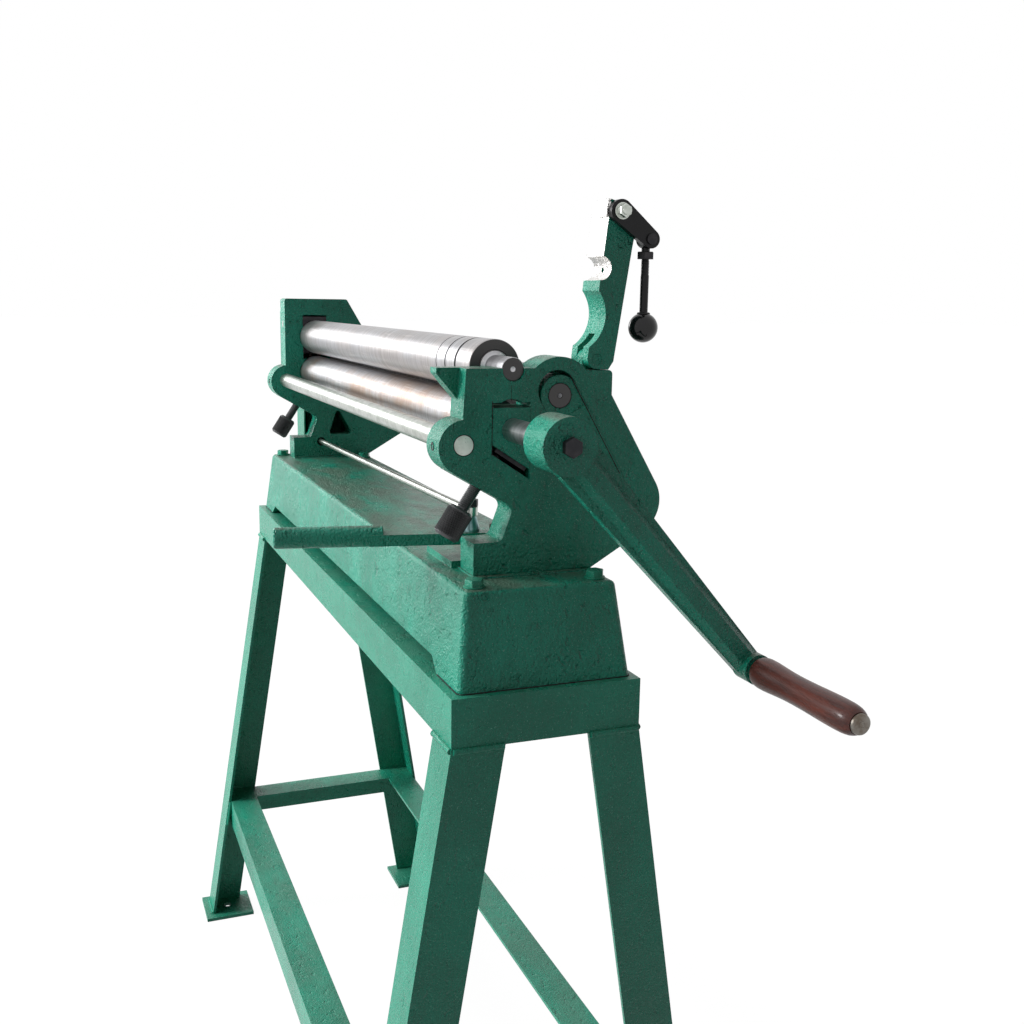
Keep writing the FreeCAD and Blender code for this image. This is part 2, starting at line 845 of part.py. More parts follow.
def side_housing(label, face, outline, corners):
    """The plate of one housing with what both have: ear, slot, screw holes and foot holes."""
    body = section_body(label, face)
    pad(body, polygon(new_sketch(body, "YZ_Plane"), outline), S.housing_thick, back=True)
    middle = -S.housing_thick / 2
    round_edges(body, [(middle, lobe_y, lobe_z)], S.lobe_round)
    round_edges(body, [(middle, S.notch_y, S.notch_z), (middle, S.notch_foot_y, S.foot_top)], S.notch_round)
    round_edges(body, [(middle, y, z) for y, z in corners], S.corner_round)
    ear = circle(new_sketch(body, "YZ_Plane"), S.ear_y, S.ear_z, S.ear_radius)
    pad(body, ear, S.housing_thick, back=True)
    return body


def cut_housing(body, window_top):
    middle = -S.housing_thick / 2
    low = line_foot(S.window_front, S.window_reach)
    high = line_foot(S.window_back, S.window_reach)
    window = [
        (S.window_front, low),
        (S.window_back, high),
        (S.window_back, window_top),
        (S.window_front, window_top),
    ]
    pocket(body, polygon(new_sketch(body, "YZ_Plane"), window))
    centre = (S.rear_y, S.rear_z, ZERO)
    slot = new_sketch(body, "YZ_Plane", centre, slot_turn)
    pocket(body, box_outline(slot, -S.slot_half, S.slot_half, -S.slot_drop, S.slot_rise))
    crown = new_sketch(body, "YZ_Plane", centre, slot_turn)
    pocket(body, circle(crown, ZERO, S.slot_rise, S.slot_half))
    front = new_sketch(body, "XY_Plane", turn=screw_turn, axis=Vector(1, 0, 0))
    pocket(body, circle(front, middle, S.screw_offset, S.front_screw_radius + S.running_clearance))
    rear = new_sketch(body, "XY_Plane", (ZERO, S.rear_y, S.rear_z), slot_turn, Vector(1, 0, 0))
    pocket(body, circle(rear, middle, ZERO, S.rear_screw_radius + S.running_clearance))
    bore(body, S.tie_y, S.tie_z, S.tie_end_radius + S.running_clearance)
    for y in (S.foot_bolt_front, S.foot_bolt_back):
        foot = new_sketch(body, "XY_Plane", (ZERO, ZERO, S.foot_base))
        circle(foot, middle, y, S.bolt_radius + S.running_clearance)
        pocket(body, foot, S.foot_bolt_grip + S.foot_bolt_spare, back=True)


lower_outline = [
    (S.front_edge, S.front_break_z),
    (S.front_edge, S.ear_z),
    (S.web_y, S.web_z),
    (S.notch_y, S.notch_z),
    (S.notch_foot_y, S.foot_top),
    (S.foot_front, S.foot_top),
    (S.foot_front, S.foot_base),
    (heel_y, S.foot_base),
    (lobe_y, lobe_z),
]
right_outline = lower_outline + [
    (S.seat_back, S.back_drop),
    (S.seat_back, S.seat_z),
    (S.boss_y, S.seat_z),
    (S.boss_y, S.right_top),
    (S.front_top_y, S.right_top),
]
left_top_back = S.seat_back - (S.left_top - S.back_drop) * slope_x / slope_z
left_outline = lower_outline + [(left_top_back, S.left_top), (S.front_edge, S.left_top)]

right = side_housing("right_housing", right_face, right_outline, [(S.seat_back, S.seat_z)])
boss = circle(new_sketch(right, "YZ_Plane"), S.boss_y, S.boss_z, S.boss_radius)
pad(right, boss, S.housing_thick, back=True)
gusset = new_sketch(right, "YZ_Plane", (ZERO, ZERO, S.gusset_thick - S.housing_thick))
gusset_root = S.front_edge + S.gusset_nose
polygon(
    gusset,
    [
        (gusset_root, S.right_top),
        (S.gusset_tip, S.right_top),
        (S.gusset_tip, S.right_top - S.gusset_nose),
        (S.front_edge, S.gusset_foot),
        (gusset_root, S.gusset_foot),
    ],
)
pad(right, gusset, S.gusset_thick, back=True)
cut_housing(right, S.right_window_top)
relief_y = (S.window_front + S.window_back) / 2
bore(right, relief_y, S.right_window_top + S.window_relief - S.relief_radius, S.relief_radius)
bore(right, ZERO, S.upper_rise, journal_bore)
mouth = box_outline(
    new_sketch(right, "YZ_Plane"), -journal_bore, journal_bore, S.upper_rise, S.right_top + S.overlap
)
pocket(right, mouth)
lug_radius = S.arm_foot - S.slide_gap
lug_x = -(S.fork_ear + S.lug_gap)
lug_thick = S.housing_thick + lug_x * 2
lug = new_sketch(right, "YZ_Plane", (ZERO, ZERO, lug_x))
pad(right, circle(lug, S.pivot_y, S.pivot_z, lug_radius), lug_thick, back=True)
lug = new_sketch(right, "YZ_Plane", (ZERO, ZERO, lug_x))
box_outline(lug, S.pivot_y - lug_radius, S.pivot_y + lug_radius, S.seat_z - S.corner_round, S.pivot_z)
pad(right, lug, lug_thick, back=True)
bore(right, S.pivot_y, S.pivot_z, S.pivot_radius + S.running_clearance)

left = side_housing(
    "left_housing", left_face, left_outline, [(left_top_back, S.left_top), (S.front_edge, S.left_top)]
)
cut_housing(left, S.left_window_top)
triangle = [
    (S.triangle_top_y, S.triangle_top_z),
    (S.triangle_back, S.triangle_base),
    (S.triangle_front, S.triangle_base),
]
pocket(left, polygon(new_sketch(left, "YZ_Plane"), triangle))
round_edges(left, [(-S.housing_thick / 2, y, z) for y, z in triangle], S.triangle_round)
rod_hole_y, rod_hole_z = rod_point(left_middle)
bore(left, rod_hole_y, rod_hole_z, S.rod_hole_radius)
pin_hole = new_sketch(left, "XZ_Plane", (ZERO, ZERO, -S.gusset_tip))
circle(pin_hole, -S.housing_thick / 2, S.swivel_z, S.swivel_pin_radius + S.running_clearance)
pocket(left, pin_hole, S.swivel_pin_back - S.gusset_tip)
tab_middle = S.tab_reach / 2
tabs = [
    (-S.tab_top_y, S.cover_top + tab_middle),
    (S.tab_top_y, S.cover_top + tab_middle),
    (S.cover_back + tab_middle, S.tab_lower_z),
]
for y, z in tabs:
    hole = new_sketch(left, "YZ_Plane", (ZERO, ZERO, -S.housing_thick))
    circle(hole, y, z, S.cover_screw_radius + S.running_clearance)
    pocket(left, hole, S.cover_screw_length, back=True)

# ---------------------------------------------------------------- tie bar
tie = new_body("tie_bar", ZERO, S.roll_axis_y + S.tie_y, S.roll_axis_z + S.tie_z)
revolve(
    tie,
    [
        (left_outer, ZERO),
        (left_outer, S.tie_end_radius),
        (left_face, S.tie_end_radius),
        (left_face, S.tie_radius),
        (right_inner, S.tie_radius),
        (right_inner, S.tie_end_radius),
        (right_face, S.tie_end_radius),
        (right_face, ZERO),
    ],
)

# ---------------------------------------------------------------- bearing blocks
block_front = S.window_front + S.slide_gap
block_back = S.window_back - S.slide_gap
for label, face in (("lower_block_right", right_face), ("lower_block_left", left_face)):
    block = section_body(label, face)
    outline = [
        (block_front, line_foot(block_front, S.block_reach)),
        (block_back, line_foot(block_back, S.block_reach)),
        (block_back, S.lower_block_top),
        (block_front, S.lower_block_top),
    ]
    pad(block, polygon(new_sketch(block, "YZ_Plane"), outline), S.housing_thick, back=True)
    if label.endswith("left"):
        hub = new_sketch(block, "YZ_Plane", (ZERO, ZERO, -S.housing_thick))
        pad(block, circle(hub, ZERO, ZERO, S.hub_radius), S.hub_length, back=True)
    bore(block, ZERO, ZERO, journal_bore)

swivel = section_body("swivel_block", left_face)
swivel_face = new_sketch(swivel, "YZ_Plane")
box_outline(swivel_face, block_front, block_back, S.swivel_block_foot, S.swivel_block_top)
pad(swivel, swivel_face, S.housing_thick, back=True)
low_edge = (-S.housing_thick, relief_y, S.swivel_block_foot)
round_edges(swivel, [low_edge], S.swivel_chamfer, "PartDesign::Chamfer")
hub = new_sketch(swivel, "YZ_Plane", (ZERO, ZERO, -S.housing_thick))
pad(swivel, circle(hub, ZERO, S.upper_rise, S.hub_radius), S.hub_length, back=True)
bore(swivel, ZERO, S.upper_rise, journal_bore)
cross = new_sketch(swivel, "XZ_Plane", (ZERO, ZERO, S.window_back * 2))
circle(cross, -S.housing_thick / 2, S.swivel_z, S.swivel_pin_radius + S.running_clearance)
pocket(swivel, cross)

pin_length = S.swivel_pin_back - S.front_edge
swivel_pin = cylinder(
    S.swivel_pin_radius, pin_length, left_middle, axis_y + S.front_edge, axis_z + S.swivel_z, -QUARTER
)
swivel_pin.Label = "swivel_pin"

for label, face in (("rear_block_right", right_face), ("rear_block_left", left_face)):
    slider = new_body(label, face, axis_y + S.rear_y, axis_z + S.rear_z, slot_turn)
    half = S.slot_half - S.slide_gap
    pad(slider, circle(new_sketch(slider, "YZ_Plane"), ZERO, ZERO, half), S.housing_thick, back=True)
    foot = box_outline(new_sketch(slider, "YZ_Plane"), -half, half, -S.slider_foot, ZERO)
    pad(slider, foot, S.housing_thick, back=True)
    bore(slider, ZERO, ZERO, rear_bore)
    socket = new_sketch(slider, "XY_Plane", (ZERO, ZERO, -S.slider_foot))
    circle(socket, -S.housing_thick / 2, ZERO, S.slider_pin_radius + S.running_clearance)
    pocket(slider, socket, S.slider_pin_depth, back=True)

# ---------------------------------------------------------------- rolls
gear_outer = left_outer - S.gear_gap - S.gear_width
tail_face = left_outer - S.tail_gap
tail_end = tail_face - S.tail_thick


def roll(label, y, z, left_end, right_end, journal):
    """A plain roll turned in one piece with its journals, which keep their centre holes."""
    body = new_body(label, ZERO, y, z)
    revolve(
        body,
        [
            (left_end + S.centre_depth, ZERO),
            (left_end, S.centre_radius),
            (left_end, journal),
            (S.roll_left, journal),
            (S.roll_left, S.roll_radius),
            (S.roll_right, S.roll_radius),
            (S.roll_right, journal),
            (right_end, journal),
            (right_end, S.centre_radius),
            (right_end - S.centre_depth, ZERO),
        ],
    )
    return body


def wire_grooves(body):
    """Three rounded grooves near the crank end, for rolling wire and wired edges."""
    for i in range(3):
        x = S.roll_right - S.groove_first - S.groove_pitch * i
        floor = S.roll_radius - S.groove_depth
        revolve(
            body,
            [
                (x - S.groove_half, S.roll_radius + S.overlap),
                (x - S.groove_half, S.roll_radius),
                (x - S.groove_half / 2, floor),
                (x + S.groove_half / 2, floor),
                (x + S.groove_half, S.roll_radius),
                (x + S.groove_half, S.roll_radius + S.overlap),
            ],
            cut=True,
        )


journal_end = right_face - S.journal_inset
shaft_end = crank_face - S.crank_wall
upper_end = tail_end - S.upper_tail
lower = roll("lower_roll", axis_y, axis_z, gear_outer, shaft_end, S.journal_radius)
wire_grooves(lower)
bolt_bore = new_sketch(lower, "YZ_Plane", (ZERO, ZERO, shaft_end))
circle(bolt_bore, ZERO, ZERO, S.stud_radius + S.running_clearance)
pocket(lower, bolt_bore, S.crank_bolt_length)
wire_grooves(roll("upper_roll", axis_y, axis_z + S.upper_rise, upper_end, journal_end, S.journal_radius))
roll("rear_roll", axis_y + S.rear_y, axis_z + S.rear_z, left_outer, right_face, S.rear_journal_radius)


def gear(label, z, turn):
    """A coarse spur gear whose long teeth stay in mesh while the roll gap changes."""
    body = new_body(label, left_outer - S.gear_gap, axis_y, z, turn)
    pad(body, circle(new_sketch(body, "YZ_Plane"), ZERO, ZERO, S.gear_root_radius), S.gear_width, back=True)
    tooth = [
        (-S.gear_root_half, S.gear_root_radius - S.gear_root_sink),
        (S.gear_root_half, S.gear_root_radius - S.gear_root_sink),
        (S.gear_pitch_half, S.gear_pitch_radius),
        (S.gear_tip_half, S.gear_tip_radius),
        (-S.gear_tip_half, S.gear_tip_radius),
        (-S.gear_pitch_half, S.gear_pitch_radius),
    ]
    sketch = polygon(new_sketch(body, "YZ_Plane"), tooth)
    one = pad(body, sketch, S.gear_width, back=True)
    pattern = body.newObject("PartDesign::PolarPattern", "Teeth")
    pattern.Originals = [one]
    pattern.Axis = (sketch, ["N_Axis"])
    pattern.Angle = 360
    bind(pattern, "Occurrences", S.gear_teeth)
    body.Tip = pattern
    bore(body, ZERO, ZERO, journal_bore)


gear("lower_gear", axis_z, ZERO)
gear("upper_gear", axis_z + S.upper_rise, 180 / S.gear_teeth)

# ---------------------------------------------------------------- adjusting screws
shoe_low = S.block_reach + S.seat_gap + S.shoe_thick
for side, x in (("right", right_middle), ("left", left_middle)):
    y = axis_y + S.screw_offset * screw_z
    z = axis_z - S.screw_offset * screw_x
    shoe = new_body(f"thrust_shoe_{side}", x, y, z, screw_turn)
    plate = new_sketch(shoe, "XY_Plane", (ZERO, ZERO, -shoe_low))
    pad(shoe, box_outline(plate, -S.shoe_half_x, S.shoe_half_x, -S.shoe_front, S.shoe_back), S.shoe_thick)
    socket = new_sketch(shoe, "XY_Plane", (ZERO, ZERO, -shoe_low))
    circle(socket, ZERO, ZERO, S.shoe_pin_radius + S.running_clearance)
    pocket(shoe, socket, S.shoe_pin_depth, back=True)
    screw = new_body(f"front_screw_{side}", x, y, z, screw_turn)
    knob_end = S.front_knob_reach + S.front_knob_length
    revolve(
        screw,
        [
            (ZERO, -shoe_low + S.shoe_pin_depth - S.seat_gap),
            (S.shoe_pin_radius, -shoe_low + S.shoe_pin_depth - S.seat_gap),
            (S.shoe_pin_radius, -shoe_low - S.seat_gap),
            (S.front_screw_radius, -shoe_low - S.seat_gap),
            (S.front_screw_radius, -S.front_knob_reach),
            (S.front_knob_radius - S.knob_chamfer, -S.front_knob_reach),
            (S.front_knob_radius, -S.front_knob_reach - S.knob_chamfer),
            (S.front_knob_radius, S.knob_chamfer - knob_end),
            (S.front_knob_radius - S.knob_chamfer, -knob_end),
            (ZERO, -knob_end),
        ],
        axis="V_Axis",
    )
    screw = new_body(f"rear_screw_{side}", x, axis_y + S.rear_y, axis_z + S.rear_z, slot_turn)
    pin_top = S.slider_pin_depth - S.seat_gap - S.slider_foot
    revolve(
        screw,
        [
            (ZERO, pin_top),
            (S.slider_pin_radius, pin_top),
            (S.slider_pin_radius, -S.slider_foot - S.seat_gap),
            (S.rear_screw_radius, -S.slider_foot - S.seat_gap),
            (S.rear_screw_radius, -S.rear_screw_end),
            (ZERO, -S.rear_screw_end),
        ],
        axis="V_Axis",
    )
    key = new_sketch(screw, "XY_Plane", (ZERO, ZERO, -S.rear_screw_end))
    hexagon(key, ZERO, ZERO, S.rear_socket_radius * 2)
    pocket(screw, key, S.rear_socket_depth, back=True)

# ---------------------------------------------------------------- lifting arm behind the gears
tail_rod_y, tail_rod_z = rod_point(tail_face - S.tail_thick / 2)
tail = section_body("tail_arm", tail_face)
shank = [
    (-S.tail_half, S.upper_rise),
    (S.tail_half, S.upper_rise),
    (tail_rod_y + S.tail_half, tail_rod_z - S.tail_margin),
    (tail_rod_y - S.tail_half, tail_rod_z - S.tail_margin),
]
pad(tail, polygon(new_sketch(tail, "YZ_Plane"), shank), S.tail_thick, back=True)
eye = circle(new_sketch(tail, "YZ_Plane"), ZERO, S.upper_rise, S.tail_eye_radius)
pad(tail, eye, S.tail_thick, back=True)
bore(tail, ZERO, S.upper_rise, journal_bore)
slot_low = tail_rod_z - S.tail_slot_drop
slot_high = tail_rod_z + S.tail_slot_rise
for z in (slot_low, slot_high):
    bore(tail, tail_rod_y, z, S.tail_slot_radius)
slot_front = tail_rod_y - S.tail_slot_radius
slot_back = tail_rod_y + S.tail_slot_radius
pocket(tail, box_outline(new_sketch(tail, "YZ_Plane"), slot_front, slot_back, slot_low, slot_high))

link_rod = new_body("link_rod", stud_x, axis_y + S.stud_y, axis_z + S.stud_z)
eye = circle(
    new_sketch(link_rod, "XY_Plane", (ZERO, ZERO, -S.rod_eye_thick / 2)), ZERO, ZERO, S.rod_eye_radius
)
pad(link_rod, eye, S.rod_eye_thick)
rod_length = stud_x + S.rod_tail - left_outer
shank = pad(link_rod, circle(new_sketch(link_rod, "YZ_Plane"), ZERO, ZERO, S.rod_radius), rod_length)
shank.UseCustomVector = True
shank.Direction = Vector(-1, rod_y.number, rod_z.number)
bind(shank, "Direction.y", rod_y)
bind(shank, "Direction.z", rod_z)
shank.AlongSketchNormal = True
hole = circle(new_sketch(link_rod, "XY_Plane", (ZERO, ZERO, S.rod_eye_thick)), ZERO, ZERO, S.rod_eye_bore)
pocket(link_rod, hole)


def drilled(solid, hole):
    item = document.addObject("Part::Cut", "Drilled")
    item.Base = solid
    item.Tool = hole
    return item


nuts = []
rod_nut_bore = S.rod_radius + S.slide_gap
for face in (tail_face + S.rod_nut_gap, tail_end - S.rod_nut_gap - S.rod_nut_thick):
    nut_y, nut_z = rod_point(face + S.rod_nut_thick / 2)
    spot = (face, axis_y + nut_y, axis_z + nut_z, QUARTER, ALONG_X)
    nuts.append(
        drilled(
            cylinder(S.rod_nut_radius, S.rod_nut_thick, *spot),
            cylinder(rod_nut_bore, S.rod_nut_thick, *spot),
        )
    )
group("rod_nuts", nuts)

# ---------------------------------------------------------------- hand lever
lever_y = axis_y + lever_pivot_y
lever_foot_z = axis_z + S.lever_top_z - S.lever_thick
lever = new_body("hand_lever", lever_pivot_x, lever_y, lever_foot_z, S.lever_angle, Vector(0, 0, 1))
bar = box_outline(new_sketch(lever, "XY_Plane"), ZERO, S.lever_flat_length, -S.lever_half, S.lever_half)
pad(lever, bar, S.lever_thick)
pad(lever, circle(new_sketch(lever, "XY_Plane"), ZERO, ZERO, S.lever_half), S.lever_thick)
grip_start = S.lever_flat_length - S.lever_half
grip = new_sketch(lever, "YZ_Plane", (ZERO, S.lever_thick / 2 + S.lever_grip_rise, grip_start))
pad(lever, circle(grip, ZERO, ZERO, S.lever_grip_radius), S.lever_length - grip_start)
grip_edge = (S.lever_length, -S.lever_grip_radius, S.lever_thick / 2 + S.lever_grip_rise)
round_edges(lever, [grip_edge], S.lever_grip_round)
for x in (ZERO, S.lever_arm):
    hole = new_sketch(lever, "XY_Plane", (ZERO, ZERO, S.lever_thick))
    pocket(lever, circle(hole, x, ZERO, S.stud_radius + S.running_clearance))

land_top = axis_z + S.base_top_z + S.land_rise
wall_foot = axis_z + S.base_top_z - S.base_wall
post_top = lever_foot_z - S.seat_gap
lever_nut_z = lever_foot_z + S.lever_thick + S.seat_gap
pivot_end = lever_nut_z + S.nut_thick + S.stud_end
pivot = fuse(
    [
        cylinder(S.stud_radius, pivot_end - wall_foot, lever_pivot_x, lever_y, wall_foot),
        hex_prism(S.nut_flats, S.nut_thick, lever_pivot_x, lever_y, wall_foot - S.nut_thick),
        cylinder(S.post_radius, post_top - land_top, lever_pivot_x, lever_y, land_top),
        hex_prism(S.nut_flats, S.nut_thick, lever_pivot_x, lever_y, lever_nut_z),
    ]
)
pivot.Label = "pivot_bolt"

stud_y = axis_y + S.stud_y
stud_head_z = lever_foot_z - S.stud_head
spacer_top = axis_z + S.stud_z - S.rod_eye_thick / 2 - S.spacer_gap
stud_nut_z = spacer_top + S.rod_eye_thick + S.spacer_gap * 2
stud_end = stud_nut_z + S.nut_thick + S.stud_end
stud = fuse(
    [
        hex_prism(S.nut_flats, S.stud_head, stud_x, stud_y, stud_head_z),
        cylinder(S.stud_radius, stud_end - stud_head_z, stud_x, stud_y, stud_head_z),
        hex_prism(S.nut_flats, S.nut_thick, stud_x, stud_y, stud_nut_z),
    ]
)
stud.Label = "link_stud"
spacer = new_body("link_spacer", stud_x, stud_y, lever_foot_z + S.lever_thick)
spacer_height = spacer_top - lever_foot_z - S.lever_thick
spacer_bore = S.stud_radius + S.running_clearance
revolve(
    spacer,
    [
        (spacer_bore, ZERO),
        (S.spacer_radius, ZERO),
        (S.spacer_radius, S.spacer_rim),
        (S.spacer_top_radius, spacer_height),
        (spacer_bore, spacer_height),
    ],
    axis="V_Axis",
)

# ---------------------------------------------------------------- release arm
arm = new_body("release_arm", right_face, axis_y + S.pivot_y, axis_z + S.pivot_z, -S.arm_open_angle)


def arm_polygon(points, offset=ZERO):
    """Points of the closed arm's outline, seen from its pivot."""
    sketch = new_sketch(arm, "YZ_Plane", (ZERO, ZERO, offset))
    return polygon(sketch, [(y - S.pivot_y, z - S.pivot_z) for y, z in points])


arm_heel_z = S.pivot_z - S.arm_foot
arm_heel_y = S.pivot_y + S.arm_foot
arm_outline = [
    (S.arm_tip_y, S.arm_under_z),
    (S.arm_step_y, S.arm_under_z),
    (S.arm_step_y, arm_heel_z),
    (arm_heel_y, arm_heel_z),
    (S.pivot_y + S.arm_heel_back, S.pivot_z + S.arm_heel),
    (S.pivot_y, S.arm_shoulder_z),
    (S.arm_back_y, S.arm_back_z),
    (S.arm_crown_y, S.arm_crown_z),
    (S.arm_nose_y, S.arm_nose_z),
]
pad(arm, arm_polygon(arm_outline), S.housing_thick, back=True)
heel_corner = (-S.housing_thick / 2, S.arm_foot, -S.arm_foot)
round_edges(arm, [heel_corner], S.arm_foot - S.running_clearance)
hook_y = S.front_top_y - S.hook_gap
hook = [
    (S.arm_tip_y, S.arm_under_z + S.overlap),
    (S.arm_tip_y, S.hook_z),
    (hook_y, S.hook_z),
    (hook_y, S.arm_under_z + S.overlap),
]
pad(arm, arm_polygon(hook), S.hook_thick, back=True)


def arm_hole(y, z, radius):
    bore(arm, y - S.pivot_y, z - S.pivot_z, radius)


arm_hole(ZERO, S.upper_rise, journal_bore)
arm_hole(S.boss_y, S.boss_z, S.boss_radius + S.arm_boss_gap)
arm_hole(S.pivot_y, S.pivot_z, S.pivot_radius + S.running_clearance)
arm_hole(S.clamp_pin_y, S.clamp_pin_z, S.clamp_pin_radius + S.running_clearance)
arm_top = S.arm_crown_z - S.pivot_z + S.overlap
fork = new_sketch(arm, "XY_Plane", (ZERO, ZERO, arm_top))
fork_inner = S.fork_ear - S.housing_thick
box_outline(fork, fork_inner, -S.fork_ear, -S.fork_depth, S.fork_depth)
pocket(arm, fork)
oil_y = -S.pivot_y
oil = new_sketch(arm, "XY_Plane", (ZERO, ZERO, arm_top))
circle(oil, -S.housing_thick / 2, oil_y, S.oil_radius)
pocket(arm, oil, arm_top)

pin_y = axis_y + S.pivot_y
pin_z = axis_z + S.pivot_z
arm_pin_x = right_inner + S.arm_pin_inset
arm_pin_length = S.housing_thick - S.arm_pin_inset * 2
arm_pin = cylinder(S.pivot_radius, arm_pin_length, arm_pin_x, pin_y, pin_z, QUARTER, ALONG_X)
arm_pin.Label = "arm_pin"

# ---------------------------------------------------------------- cam clamp
clamp_run_y = S.clamp_pin_y - S.pivot_y
clamp_run_z = S.clamp_pin_z - S.pivot_z
open_cos = cosine(S.arm_open_angle)
open_sin = sine(S.arm_open_angle)
clamp_y = axis_y + S.pivot_y + clamp_run_y * open_cos + clamp_run_z * open_sin
clamp_z = axis_z + S.pivot_z - clamp_run_y * open_sin + clamp_run_z * open_cos
link_x = right_face + S.link_gap
link_out = link_x + S.link_thick
washer_x = link_out + S.seat_gap
nut_x = washer_x + S.washer_thick
stud_head_x = right_inner - S.stud_head
clamp_spot = (clamp_y, clamp_z, QUARTER, ALONG_X)
clamp_stud_length = nut_x + S.nut_thick + S.stud_end - stud_head_x
clamp_stud = fuse(
    [
        cylinder(S.clamp_pin_radius, clamp_stud_length, stud_head_x, *clamp_spot),
        hex_prism(S.nut_flats, S.stud_head, stud_head_x, *clamp_spot),
    ]
)
clamp_stud.Label = "clamp_stud"
clamp_hole = cylinder(S.clamp_pin_radius + S.running_clearance, S.nut_thick * 2, washer_x, *clamp_spot)
clamp_nut = drilled(
    fuse(
        [
            cylinder(S.clamp_washer_radius, S.washer_thick, washer_x, *clamp_spot),
            hex_prism(S.clamp_nut_flats, S.nut_thick, nut_x, *clamp_spot),
        ]
    ),
    clamp_hole,
)
clamp_nut.Label = "clamp_nut"

link = new_body("clamp_link", link_x, clamp_y, clamp_z, S.link_angle)
link_side = [
    (ZERO, S.link_root_radius),
    (ZERO, -S.link_root_radius),
    (S.link_length, -S.link_end_radius),
    (S.link_length, S.link_end_radius),
]
pad(link, polygon(new_sketch(link, "YZ_Plane"), link_side), S.link_thick)
pad(link, circle(new_sketch(link, "YZ_Plane"), ZERO, ZERO, S.link_root_radius), S.link_thick)
pad(link, circle(new_sketch(link, "YZ_Plane"), S.link_length, ZERO, S.link_end_radius), S.link_thick)
for y, radius in ((ZERO, S.clamp_pin_radius), (S.link_length, S.eye_pin_radius)):
    hole = new_sketch(link, "YZ_Plane", (ZERO, ZERO, S.link_thick))
    pocket(link, circle(hole, y, ZERO, radius + S.running_clearance))

handle_y = clamp_y + S.link_length * cosine(S.link_angle)
handle_z = clamp_z + S.link_length * sine(S.link_angle)
eye_left = link_x - S.seat_gap - S.cam_width
eye_spot = (handle_y, handle_z, QUARTER, ALONG_X)
eye_pin = fuse(
    [
        cylinder(S.eye_pin_radius, link_out - eye_left, eye_left, *eye_spot),
        cylinder(S.eye_pin_head, S.washer_thick, link_out + S.seat_gap, *eye_spot),
        cylinder(S.eye_pin_radius, S.washer_thick, link_out, *eye_spot),
    ]
)
eye_pin.Label = "clamp_eye_pin"

rod_middle = eye_left + S.cam_width / 2
handle_top = S.eye_pin_radius + S.handle_floor
eye = new_body("clamp_eye", eye_left, handle_y, handle_z)
pad(eye, circle(new_sketch(eye, "YZ_Plane"), ZERO, ZERO, S.cam_radius), S.cam_width)
hole = new_sketch(eye, "YZ_Plane", (ZERO, ZERO, S.cam_width))
pocket(eye, circle(hole, ZERO, ZERO, S.eye_pin_radius + S.running_clearance))
hole = new_sketch(eye, "XY_Plane", (ZERO, ZERO, -handle_top))
pocket(eye, circle(hole, S.cam_width / 2, ZERO, S.handle_radius + S.running_clearance))

handle_rod = cylinder(
    S.handle_radius,
    S.handle_length,
    rod_middle,
    handle_y,
    handle_z - handle_top - S.seat_gap - S.handle_length,
)
handle_rod.Label = "clamp_rod"
nut_top = handle_z - S.handle_nut_drop
jam_nut = drilled(
    hex_prism(S.nut_flats, S.nut_thick, rod_middle, handle_y, nut_top - S.nut_thick),
    cylinder(S.handle_radius + S.running_clearance, S.nut_thick, rod_middle, handle_y, nut_top - S.nut_thick),
)
jam_nut.Label = "clamp_jam_nut"
ball_z = handle_z - S.ball_drop
sphere = document.addObject("Part::Sphere", "Sphere")
bind(sphere, "Radius", S.ball_radius)
place(sphere, rod_middle, handle_y, ball_z)
collar = cylinder(S.ball_collar, S.ball_radius, rod_middle, handle_y, ball_z)
ball_floor = handle_z - handle_top - S.seat_gap * 2 - S.handle_length
ball = drilled(
    fuse([sphere, collar]),
    cylinder(S.handle_radius + S.running_clearance, S.ball_radius * 2, rod_middle, handle_y, ball_floor),
)
ball.Label = "ball_knob"

# ---------------------------------------------------------------- crank
crank = section_body("crank_arm", crank_face)
boss = circle(new_sketch(crank, "YZ_Plane"), ZERO, ZERO, S.crank_boss_radius)
pad(crank, boss, S.crank_boss_length, back=True)
arm_offset = (ZERO, ZERO, -S.crank_arm_inset)
shank = [
    (ZERO, -S.crank_root_half),
    (S.crank_length, -S.crank_end_half),
    (S.crank_length, S.crank_end_half),
    (ZERO, S.crank_root_half),
]
sketch = new_sketch(crank, "YZ_Plane", arm_offset, S.crank_angle)
pad(crank, polygon(sketch, shank), S.crank_arm_thick, back=True)
sketch = new_sketch(crank, "YZ_Plane", arm_offset, S.crank_angle)
rib = box_outline(sketch, ZERO, S.crank_length, -S.crank_rib_half, S.crank_rib_half)
ridge = pad(crank, rib, S.crank_rib_height)
bind(ridge, "TaperAngle", -S.crank_rib_slope)
sketch = new_sketch(crank, "YZ_Plane", (ZERO, ZERO, S.crank_eye_rise), S.crank_angle)
pad(crank, circle(sketch, S.crank_length, ZERO, S.crank_eye_radius), S.crank_eye_length, back=True)
shaft_bore = circle(new_sketch(crank, "YZ_Plane", (ZERO, ZERO, -S.crank_wall)), ZERO, ZERO, journal_bore)
pocket(crank, shaft_bore)
bore(crank, ZERO, ZERO, S.stud_radius + S.running_clearance)
sketch = new_sketch(crank, "YZ_Plane", (ZERO, ZERO, S.crank_eye_rise), S.crank_angle)
pocket(crank, circle(sketch, S.crank_length, ZERO, S.spindle_radius + S.running_clearance))

bolt_spot = (axis_y, axis_z, QUARTER, ALONG_X)
crank_bolt = fuse(
    [
        cylinder(S.stud_radius, S.crank_bolt_length, crank_face - S.crank_bolt_length, *bolt_spot),
        hex_prism(S.bolt_flats, S.bolt_head, crank_face, *bolt_spot),
    ]
)
crank_bolt.Label = "crank_bolt"

